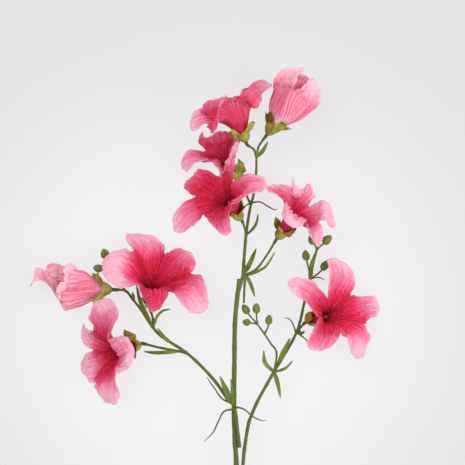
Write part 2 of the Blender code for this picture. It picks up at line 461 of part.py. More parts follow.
def lobe_grids(bloom):
    """The five lobes' placed points, row by row from the tube's base, their seams made one."""
    across = np.linspace(-1.0, 1.0, LOBE_COLUMNS + 1)
    blade_share = np.arange(1, FREE_ROWS + 1) / FREE_ROWS
    rows = np.concatenate((JOINED_SHARES, blade_share))
    is_free = np.arange(len(rows)) > JOINED_ROWS
    grids = []
    for number, lobe in enumerate(bloom.lobes):
        side, row = np.meshgrid(across, rows)
        free = np.where(is_free[:, None], row, 0.0)
        free = free * (1.0 - 0.2 * np.abs(side) ** 2.6 * free ** 2)
        reached = np.where(is_free[:, None], bloom.tube.joined + free * lobe.length, row * bloom.tube.joined)
        centre = bloom.roll + LOBE_STEP * number + lobe.turn
        grids.append(placed(bloom, lobe_surface(bloom.tube, lobe, centre, side, reached, free)))
    fade = np.concatenate((np.ones(JOINED_ROWS + 1), 1.0 - smooth(blade_share / 0.8)))
    toward_last = (np.clip(across, 0.0, 1.0) ** 2)[None, :, None] * fade[:, None, None]
    toward_first = (np.clip(-across, 0.0, 1.0) ** 2)[None, :, None] * fade[:, None, None]
    moves = []
    for number in range(5):
        following = (number + 1) % 5
        last, first = grids[number][:, -1], grids[following][:, 0]
        half_step = (first - last) / 2.0
        half_step[JOINED_ROWS + 1:] = half_step[JOINED_ROWS]
        moves.append(half_step[:, None])
    for number in range(5):
        grids[number] = grids[number] + moves[number] * toward_last - moves[number - 1] * toward_first
    side, tube_part = np.meshgrid(across, np.concatenate((JOINED_SHARES, np.ones(FREE_ROWS))))
    blade = np.meshgrid(across, np.concatenate((np.zeros(JOINED_ROWS + 1), blade_share)))[1]
    grids = notched(np.array(grids), side, tube_part, blade, bloom.notches)
    return [pulled(grid, side, blade, lobe) for grid, lobe in zip(grids, bloom.lobes)]


def mesh_object(name, points, faces, look):
    """A mesh object from points in millimetres, its faces turned outward."""
    mesh = bpy.data.meshes.new(name)
    mesh.from_pydata([tuple(float(value) * MM for value in point) for point in points], [], faces)
    mesh.materials.append(look)
    made = bpy.data.objects.new(name, mesh)
    bpy.context.scene.collection.objects.link(made)
    shape = bmesh.new()
    shape.from_mesh(mesh)
    bmesh.ops.recalc_face_normals(shape, faces=shape.faces)
    shape.to_mesh(mesh)
    shape.free()
    return made


def thickened(made, thickness):
    """The same sheet with a thickness, half to each side."""
    solid = made.modifiers.new("Thickness", "SOLIDIFY")
    solid.thickness = thickness * MM
    solid.offset = 0.0
    return made


def pressed(points, free):
    """Points of a corolla, those of the free lobes near the table laid flat on it, easing off above."""
    over = points[:, 2] - PETAL_THICKNESS / 2.0
    eased = np.where(over < 3.0 * PRESSED_DEPTH, 1.5 * np.maximum(over - PRESSED_DEPTH, 0.0), over)
    return np.column_stack((points[:, :2], np.where(free, eased, over) + PETAL_THICKNESS / 2.0))


def settled(made):
    """The same body with its thickness made real and its lowest face laid level on the table."""
    bpy.context.view_layer.objects.active = made
    bpy.ops.object.modifier_apply(modifier="Thickness")
    for vertex in made.data.vertices:
        if vertex.co.z < SETTLED_DEPTH * MM:
            vertex.co.z = 0.0
    return made


def corolla(name, bloom, look):
    """The five joined petals as one sheet closed at its base, pressed flat where it meets the table."""
    grids = lobe_grids(bloom)
    rows = JOINED_ROWS + FREE_ROWS + 1
    points, free = [placed(bloom, (0.0, 0.0, -0.4))], [False]
    numbers = {}
    for lobe in range(5):
        for row in range(rows):
            for column in range(LOBE_COLUMNS + 1):
                key = (lobe, row, column)
                if row <= JOINED_ROWS and column == LOBE_COLUMNS:
                    key = ((lobe + 1) % 5, row, 0)
                if key not in numbers:
                    numbers[key] = len(points)
                    points.append(grids[key[0]][key[1], key[2]])
                    free.append(row > JOINED_ROWS)
                numbers[(lobe, row, column)] = numbers[key]
    faces = []
    for lobe in range(5):
        for column in range(LOBE_COLUMNS):
            first, second = numbers[(lobe, 0, column)], numbers[(lobe, 0, column + 1)]
            faces.append((0, first, second))
            for row in range(rows - 1):
                a, b = numbers[(lobe, row, column)], numbers[(lobe, row, column + 1)]
                c, d = numbers[(lobe, row + 1, column + 1)], numbers[(lobe, row + 1, column)]
                faces.extend([(a, b, c), (a, c, d)])
    laid = pressed(np.array(points), np.array(free))
    return settled(thickened(mesh_object(name, laid, faces, look), PETAL_THICKNESS))


def calyx(name, bloom, look):
    """A cup closed at its foot that parts into five pointed sepals round the tube."""
    columns, cup_rows, free_rows = 3, 1, 2
    wall = (PETAL_THICKNESS + SEPAL_THICKNESS) / 2.0 + GAP + 0.25
    points = [(0.0, 0.0, CALYX_FOOT)]
    numbers = {}
    faces = []
    for sepal in range(5):
        centre = bloom.sepal_roll + LOBE_STEP * sepal
        length = bloom.sepal_length * (1.0, 0.86, 1.08, 0.92, 1.0)[sepal]
        for row in range(cup_rows + free_rows + 1):
            for column in range(columns + 1):
                side = 2.0 * column / columns - 1.0
                if row == 0:
                    height, half, radius = CALYX_FOOT + 0.5, 36.0, 3.6
                else:
                    free = (row - cup_rows) / free_rows
                    height = CUP_DEPTH + free * (length - CUP_DEPTH)
                    half = 36.0
                    tube, lean = tube_radius(bloom, height)
                    flare = np.tan(np.radians(bloom.sepal_flare)) * free ** 1.3 * (length - CUP_DEPTH)
                    radius = tube + wall * lean + flare
                    if free > 0.0:
                        half = np.degrees(SEPAL_HALF_WIDTH * (1.0, 0.95, 0.5)[row - cup_rows] / radius)
                turn = np.radians(centre + side * half)
                key = (sepal, row, column)
                if row <= cup_rows and column == columns:
                    key = ((sepal + 1) % 5, row, 0)
                if key not in numbers:
                    numbers[key] = len(points)
                    points.append((radius * np.cos(turn), radius * np.sin(turn), height))
                numbers[(sepal, row, column)] = numbers[key]
    for sepal in range(5):
        for column in range(columns):
            faces.append((0, numbers[(sepal, 0, column)], numbers[(sepal, 0, column + 1)]))
            for row in range(cup_rows + free_rows):
                a, b = numbers[(sepal, row, column)], numbers[(sepal, row, column + 1)]
                c, d = numbers[(sepal, row + 1, column + 1)], numbers[(sepal, row + 1, column)]
                faces.extend([(a, b, c), (a, c, d)])
    return thickened(mesh_object(name, placed(bloom, points), faces, look), SEPAL_THICKNESS)


def curve_through(path, steps):
    """A smooth line through the places: cubic pieces whose slopes follow their neighbours."""
    places = np.array(path, float)
    ends = np.vstack((2.0 * places[0] - places[1], places, 2.0 * places[-1] - places[-2]))
    line = [places[0]]
    for number in range(1, len(ends) - 2):
        before, start, stop, after = ends[number - 1:number + 3]
        for share in np.arange(1, steps + 1) / steps:
            line.append(0.5 * (2.0 * start + (stop - before) * share
                               + (2.0 * before - 5.0 * start + 4.0 * stop - after) * share ** 2
                               + (3.0 * start - before - 3.0 * stop + after) * share ** 3))
    return np.array(line)


def swept(name, line, widths, heights, sides, fold, look):
    """A closed body round a line, its cross-section an oval of the given half-widths and half-heights."""
    ahead = np.gradient(line, axis=0)
    ahead /= np.linalg.norm(ahead, axis=1, keepdims=True)
    across = np.cross(ahead, (0.0, 0.0, 1.0))
    across /= np.linalg.norm(across, axis=1, keepdims=True)
    above = np.cross(across, ahead)
    angles = np.arange(sides) * 2.0 * np.pi / sides
    points = []
    for number, place in enumerate(line):
        for angle in angles:
            aside = widths[number] * np.cos(angle)
            lift = heights[number] * np.sin(angle) + fold * abs(aside)
            points.append(place + across[number] * aside + above[number] * lift)
    faces = [tuple(range(sides)), tuple((len(line) - 1) * sides + number for number in reversed(range(sides)))]
    for ring in range(len(line) - 1):
        for number in range(sides):
            after = (number + 1) % sides
            low, high = ring * sides, (ring + 1) * sides
            faces.append((low + number, low + after, high + after, high + number))
    return mesh_object(name, points, faces, look)


def whole_line(path, steps):
    """The smooth line of a path, whose last entry may name the bloom that it carries, square to its calyx."""
    if not isinstance(path[-1], str):
        return curve_through(path, steps)
    bloom = BLOOMS[path[-1]]
    below = placed(bloom, ((0.0, 0.0, -5.0), (0.0, 0.0, CALYX_FOOT - SEPAL_THICKNESS / 2.0 - GAP)))
    return np.vstack((curve_through((*path[:-1], tuple(below[0])), steps), below[1]))


def growth(piece, look):
    """The closed body of one stalk, leaf or bud."""
    if isinstance(piece, Bud):
        line = np.linspace(piece.foot, piece.tip, 5)
        profile = piece.radius * np.array((0.35, 0.88, 1.0, 0.72, 0.2))
        return swept("bud", line, profile, profile, 5, 0.0, look)
    line = whole_line(piece.path, piece.steps)
    share = np.linspace(0.0, 1.0, len(line))
    if isinstance(piece, Leaf):
        widths = 0.35 + (piece.width / 2.0 - 0.35) * np.sin(np.pi * (0.12 + 0.88 * share) ** 0.9) ** 0.8
        heights = np.full(len(line), LEAF_THICKNESS / 2.0)
        heights[-1] = 0.35
        return swept("leaf", line, widths, heights, 4, piece.fold, look)
    radii = piece.start + (piece.end - piece.start) * share
    return swept("stalk", line, radii, radii, piece.sides if piece.start > 0.9 else 4, 0.0, look)


def fused(name, bodies):
    """Closed bodies joined into the first one, which is named."""
    kept = bodies[0]
    kept.name = kept.data.name = name
    others = bpy.data.collections.new(name + "_others")
    for body in bodies[1:]:
        bpy.context.scene.collection.objects.unlink(body)
        others.objects.link(body)
    bpy.context.scene.collection.children.link(others)
    union = kept.modifiers.new("Union", "BOOLEAN")
    union.operation = "UNION"
    union.operand_type = "COLLECTION"
    union.collection = others
    union.solver = "MANIFOLD"
    bpy.context.view_layer.objects.active = kept
    bpy.ops.object.modifier_apply(modifier=union.name)
    for body in bodies[1:]:
        bpy.data.objects.remove(body, do_unlink=True)
    bpy.data.collections.remove(others)
    return kept


def pistil(name, bloom, look):
    """The style with its knob and two anthers on thin stalks, from one foot."""
    closed = bloom.tube == HALF_SHUT
    bodies = []
    style = ((0.0, 0.0, 0.45), (0.0, 0.0, 2.0), (0.3, 0.1, 15.6), (0.35, 0.1, 16.4), (0.4, 0.1, 17.6))
    radii = np.array((1.6, 0.8, 0.5, 1.1, 0.5))
    bodies.append((style, radii, 5))
    for turn, height in ((20.0, 13.5), (200.0, 14.4)):
        away = np.array((np.cos(np.radians(turn)), np.sin(np.radians(turn)), 0.0))
        tip = 2.3 if closed else 2.1
        points = [tuple(away * reach + np.array((0.0, 0.0, high))) for reach, high in (
            (0.5, 0.9), (1.4, 4.0), (tip, height - 1.4), (tip, height), (tip + 0.1, height + 1.2))]
        bodies.append((points, np.array((0.45, 0.35, 0.35, 0.75, 0.35)), 4))
    made = []
    axes = bloom_axes(bloom)
    for points, widths, sides in bodies:
        line = np.array(points)
        rings = []
        for place, width in zip(line, widths):
            angles = np.arange(sides) * 2.0 * np.pi / sides
            rings.append(np.stack((place[0] + width * np.cos(angles), place[1] + width * np.sin(angles),
                                   np.full(sides, place[2])), -1))
        cloud = np.concatenate(rings) @ axes + np.array(bloom.base)
        last = (len(line) - 1) * sides
        faces = [tuple(range(sides)), tuple(last + number for number in reversed(range(sides)))]
        for ring in range(len(line) - 1):
            for number in range(sides):
                after = (number + 1) % sides
                low, high = ring * sides, (ring + 1) * sides
                faces.append((low + number, low + after, high + after, high + number))
        made.append(mesh_object("pistil_part", cloud, faces, look))
    return fused(name, made)


def build():
    """Every piece of the spray."""
    for old in list(bpy.data.objects):
        bpy.data.objects.remove(old, do_unlink=True)
    stem_look = material("stem_green", COLOURS["stem"], 0.65)
    petal_look = material("petal_pink", COLOURS["petal"], 0.7)
    pale_look = material("petal_pale_pink", COLOURS["pale_petal"], 0.7)
    sepal_look = material("sepal_olive", COLOURS["sepal"], 0.7)
    pistil_look = material("pistil_amber", COLOURS["pistil"], 0.6)
    for name, pieces in STEMS.items():
        fused(name, [growth(piece, stem_look) for piece in pieces])
    for number, bloom in BLOOMS.items():
        corolla("corolla_" + number, bloom, pale_look if bloom.tube == HALF_SHUT else petal_look)
        calyx("calyx_" + number, bloom, sepal_look)
        pistil("pistil_" + number, bloom, pistil_look)


build()
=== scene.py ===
"""The looks of the cut petunia spray: petals, sepals, pistils, stems, leaves and buds.

Lengths in the tables are millimetres, and places are read off the picture, as in the part's
own source: x to the right and y down in picture squares, with a height over the table.
"""

from typing import NamedTuple

import bmesh
import bpy
import numpy as np
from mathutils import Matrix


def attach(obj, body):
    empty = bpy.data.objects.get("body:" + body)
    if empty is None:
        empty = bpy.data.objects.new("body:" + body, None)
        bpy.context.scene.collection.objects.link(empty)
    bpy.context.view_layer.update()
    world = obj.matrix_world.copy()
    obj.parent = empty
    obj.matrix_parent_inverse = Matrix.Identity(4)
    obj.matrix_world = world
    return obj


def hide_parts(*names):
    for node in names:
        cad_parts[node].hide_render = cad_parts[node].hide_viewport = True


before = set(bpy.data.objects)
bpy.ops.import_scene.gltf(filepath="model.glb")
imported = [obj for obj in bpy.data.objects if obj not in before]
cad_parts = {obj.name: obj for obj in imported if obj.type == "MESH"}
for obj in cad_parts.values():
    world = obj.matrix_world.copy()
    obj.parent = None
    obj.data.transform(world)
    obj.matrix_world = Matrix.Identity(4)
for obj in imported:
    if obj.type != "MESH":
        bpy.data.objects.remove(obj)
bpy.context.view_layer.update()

MM = 0.001
SQUARE = 0.8
PICTURE_MIDDLE = 232.5
CAMERA_HEIGHT = 1068.0
FOCUS_HEIGHT = 35.0
FOOTPRINT_SHIFT = (22.6, 70.2)
LENS, SENSOR = 100.0, 36.0

# How finely the petals and sepals are worked out.
LOBES = 5
LOBE_STEP = 72.0
TUBE_ROWS, BLADE_ROWS = 30, 44
ACROSS_COLUMNS = 45
CUP_ROWS, SEPAL_ROWS = 9, 22
SEPAL_COLUMNS = 17
LINE_STEPS = 400
TUBE_STEPS = 120

# Petals: their thickness in the solids and as shown, and the form of the tube and the blades.
PETAL_THICKNESS = 0.7
SHOWN_THICKNESS = 0.5
THINNED_RIM = 0.18
SIDE_RIM, END_RIM = 1.2, 2.0
PRESSED_DEPTH = 2.0
LOWEST_INSIDE = 0.02
TUBE_BASE_RADIUS = 2.8
TUBE_FLOORS = ((0.0, 0.0, 0.3), (0.0, 0.0, -0.7))
FLARE_LEAD = 3.0
CURL_POWER = 1.4
BLADE_OVERRUN = 1.3
WIDEST = 0.5
TIP_WIDTH = 0.58
TIP_POWER = 1.2 + TIP_WIDTH
PARTED = 0.45
NEARLY_STRAIGHT = 0.001
EDGE_WAVES, EDGE_SHIFT, EDGE_RISE = 8.2, 1.5, 0.3
RAGGED_DEPTH = 0.025
CORNER_LOSS, CORNER_POWER = 0.2, 2.6
SHADE_FROM, SHADE_OVER = 0.6, 0.7
SEAM_FADE = 0.8

# The relief of a petal: pleats, a groove, frills (depth, waves, shift) and crinkles (size, depth).
FINE_PLEAT, FINE_PLEATS = 0.36, 14.0
BROAD_PLEAT, BROAD_PLEATS = 0.42, 6.0
PLEAT_START, PLEAT_RISE = 0.35, 1.6
PLEAT_LOSS, PLEAT_REACH = 0.7, 1.1
PLEAT_BEND, PLEAT_SWAY = 0.05, 0.8
GROOVE_DEPTH, GROOVE_WIDTH = 0.8, 0.09
FRILLS = ((0.35, 9.0, 2.0), (0.2, 19.0, 5.0))
BLADE_ASPECT = 1.6
SIDE_RIM_POWER, END_RIM_POWER, RIM_START = 5, 6, 0.35
CRINKLES = ((15.0, 0.8), (6.0, 0.34), (3.0, 0.1))
TUBE_CRINKLE, CRINKLE_RISE = 0.15, 2.6

# How far a named place draws its surroundings along, as shares of across and of the blade.
EDGE_PLACES = ((-1, 0.5), (-1, 1), (0, 1), (1, 1), (1, 0.5), (0, 0.5))
SEPAL_PLACES = ((0, 1), (-1, 0.5), (1, 0.5), (0, 0.5))
PULL_ACROSS, PULL_ALONG = 0.9, 0.4
FOOT_SHARE = 0.25
ROUNDED_FROM, ROUNDED_OVER = 0.55, 0.45
NOTCH_REACH = 0.4
NOTCH_FROM, NOTCH_OVER, NOTCH_FADE = 0.42, 0.58, 0.7

# Sepals: five pointed ones of uneven length on one cup, which is open to the stalk below.
SEPAL_THICKNESS = 0.55
THINNED_SEPAL_RIM = 0.25
SEPAL_HALF_WIDTH = 4.0
SEPAL_LENGTHS = (1.0, 0.86, 1.08, 0.92, 1.0)
CUP_DEPTH = 4.5
CUP_FOOT_RADIUS = 1.1
CUP_ROUNDED, CUP_POWER = 0.55, 0.8
CUP_RIB_DEPTH, CUP_RIBS = 0.22, 4.0
CALYX_CLEARANCE = 1.15
CALYX_FOOT = -1.9
SOCKET_DEPTH = -2.6
CUP_FLOORS = ((0.0, 0.0, SOCKET_DEPTH + 0.3), (0.0, 0.0, SOCKET_DEPTH - 0.2))
FLARE_POWER = 1.3
FOLD_POWER, FOLD_START, FOLD_LOSS = 1.5, 0.4, 0.4
RIPPLE_DEPTH, RIPPLE_START, RIPPLE_WAVES = 0.7, 0.3, 7.0
SEPAL_TAPER, POINT_POWER, BLUNT_POWER = 0.16, 3.4, 0.62
SEPALS_PARTED, LEAST_RADIUS = 0.35, 2.0
CRUMPLE_DEPTH, CRUMPLE_SIZE = 0.2, 5.0
BROWN_START = 0.4

# Stalks: their ribs, what counts as a main stalk and as a tendril, how they swell and thin, and
# the waves of their radii (depth, size, shift).
RIBS = 5
STALK_STEPS, STALK_ANGLES, STALK_GROOVE = 8, 14, 0.06
STALK_ENDING = ((0.0, 0.0, -5.0), (0.0, 0.0, CALYX_FOOT))
UNEVEN = ((0.05, 3.1, 1.0), (0.04, 1.3, 2.0))
MAIN_STALK_START = 1.4
FOOT_SWELL, FOOT_LENGTH = 0.45, 2.2
COLLAR_SWELL, COLLAR_LENGTH, COLLAR_RISE = 0.5, 7.5, 2.0
COLLAR_DEPTH, COLLAR_FADE = 1.5, 4.0
TENDRIL_START, TENDRIL_END = 1.0, 0.6
TENDRIL_SPAN, TENDRIL_TAPER = 1.03, 0.25

# Leaves: the outline's first share, the half-width at the edge and the tip, waves and the fold.
LEAF_STEPS, LEAF_ANGLES = 12, 18
LEAF_FOOT, LEAF_EDGE, LEAF_POINT = 0.12, 0.3, 0.1
LEAF_UNEVEN, LEAF_WAVE = 0.06, 0.35
LEAF_TIP_HEIGHT, LEAF_SWELL, LEAF_FOLD = 0.14, 0.3, 1.5

# Buds: the egg's share at its foot, how it swells and tapers, and its blunt tip's share.
BUD_STEPS, BUD_ANGLES, BUD_GROOVE = 22, 30, 0.16
BUD_FOOT, BUD_SWELL, BUD_TAPER, BUD_TIP = 0.3, 1.2, 0.25, 0.12

# The style's line and radii, and the two anthers' turn and height, distance and radii.
PISTIL_STEPS, PISTIL_ANGLES = 6, 12
STYLE_LINE = ((0.0, 0.0, 0.3), (0.0, 0.0, 2.0), (0.2, 0.1, 10.4), (0.3, 0.1, 18.0),
              (0.35, 0.1, 19.2), (0.4, 0.1, 20.6))
STYLE_RADII = (1.5, 0.75, 0.5, 0.55, 1.15, 0.5)
ANTHERS = ((20.0, 16.0), (200.0, 17.2))
ANTHER_DISTANCE, HALF_SHUT_DISTANCE = 2.1, 2.3
ANTHER_RADII = (0.45, 0.3, 0.3, 0.8, 0.35)
ANTHER_FEET = ((0.5, 0.9), (1.4, 4.0))
ANTHER_NECK, ANTHER_TIP, ANTHER_LEAN = 1.4, 1.2, 0.1


class Tube(NamedTuple):
    """How a corolla widens from its base to the notches between its lobes."""
    base_angle: float = 6.0
    length: float = 19.0
    mouth_angle: float = 12.0
    joined: float = 34.0
    flare: float = 12.0


class Lobe(NamedTuple):
    """One petal lobe. Angles in degrees, lengths in millimetres.

    Its edge gives the picture square and lift of each of EDGE_PLACES, which are across and the
    share of the free blade. More adds other places: across, share, x, y and lift. A positive
    shade makes it paler.
    """
    turn: float = 0.0
    length: float = 24.0
    width: float = 28.0
    spread: float = 72.0
    curl: float = 25.0
    twist: float = 0.0
    cup: float = 12.0
    phase: float = 0.0
    edge: tuple = ()
    more: tuple = ()
    shade: float = 0.0


class Bloom(NamedTuple):
    """A bloom: where its tube starts, where it looks and how its lobes lie.

    The base is a picture square and its height. A notch is its lobe's number, x, y and lift. A
    sepal is its number, how brown it is, and the square and lift of its first SEPAL_PLACES.
    """
    base: tuple
    azimuth: float
    elevation: float
    roll: float
    lobes: tuple
    tube: Tube = Tube()
    sepal_roll: float = 0.0
    sepal_length: float = 12.0
    sepal_flare: float = 34.0
    notches: tuple = ()
    shade: float = 0.0
    sepals: tuple = ()


def spot(x, y, height):
    """The place in millimetres of a picture square at a height over the table."""
    reach = SQUARE * (CAMERA_HEIGHT - height) / (CAMERA_HEIGHT - FOCUS_HEIGHT)
    across = (x - PICTURE_MIDDLE) * reach + FOOTPRINT_SHIFT[0]
    along = (PICTURE_MIDDLE - y) * reach + FOOTPRINT_SHIFT[1]
    return (across, along, height)


# The tubes of the two half-open blooms and of the widest one.
HALF_SHUT = Tube(22, 16, 31, 38, 16)
BROAD = Tube(14, 15, 28, 34, 20)

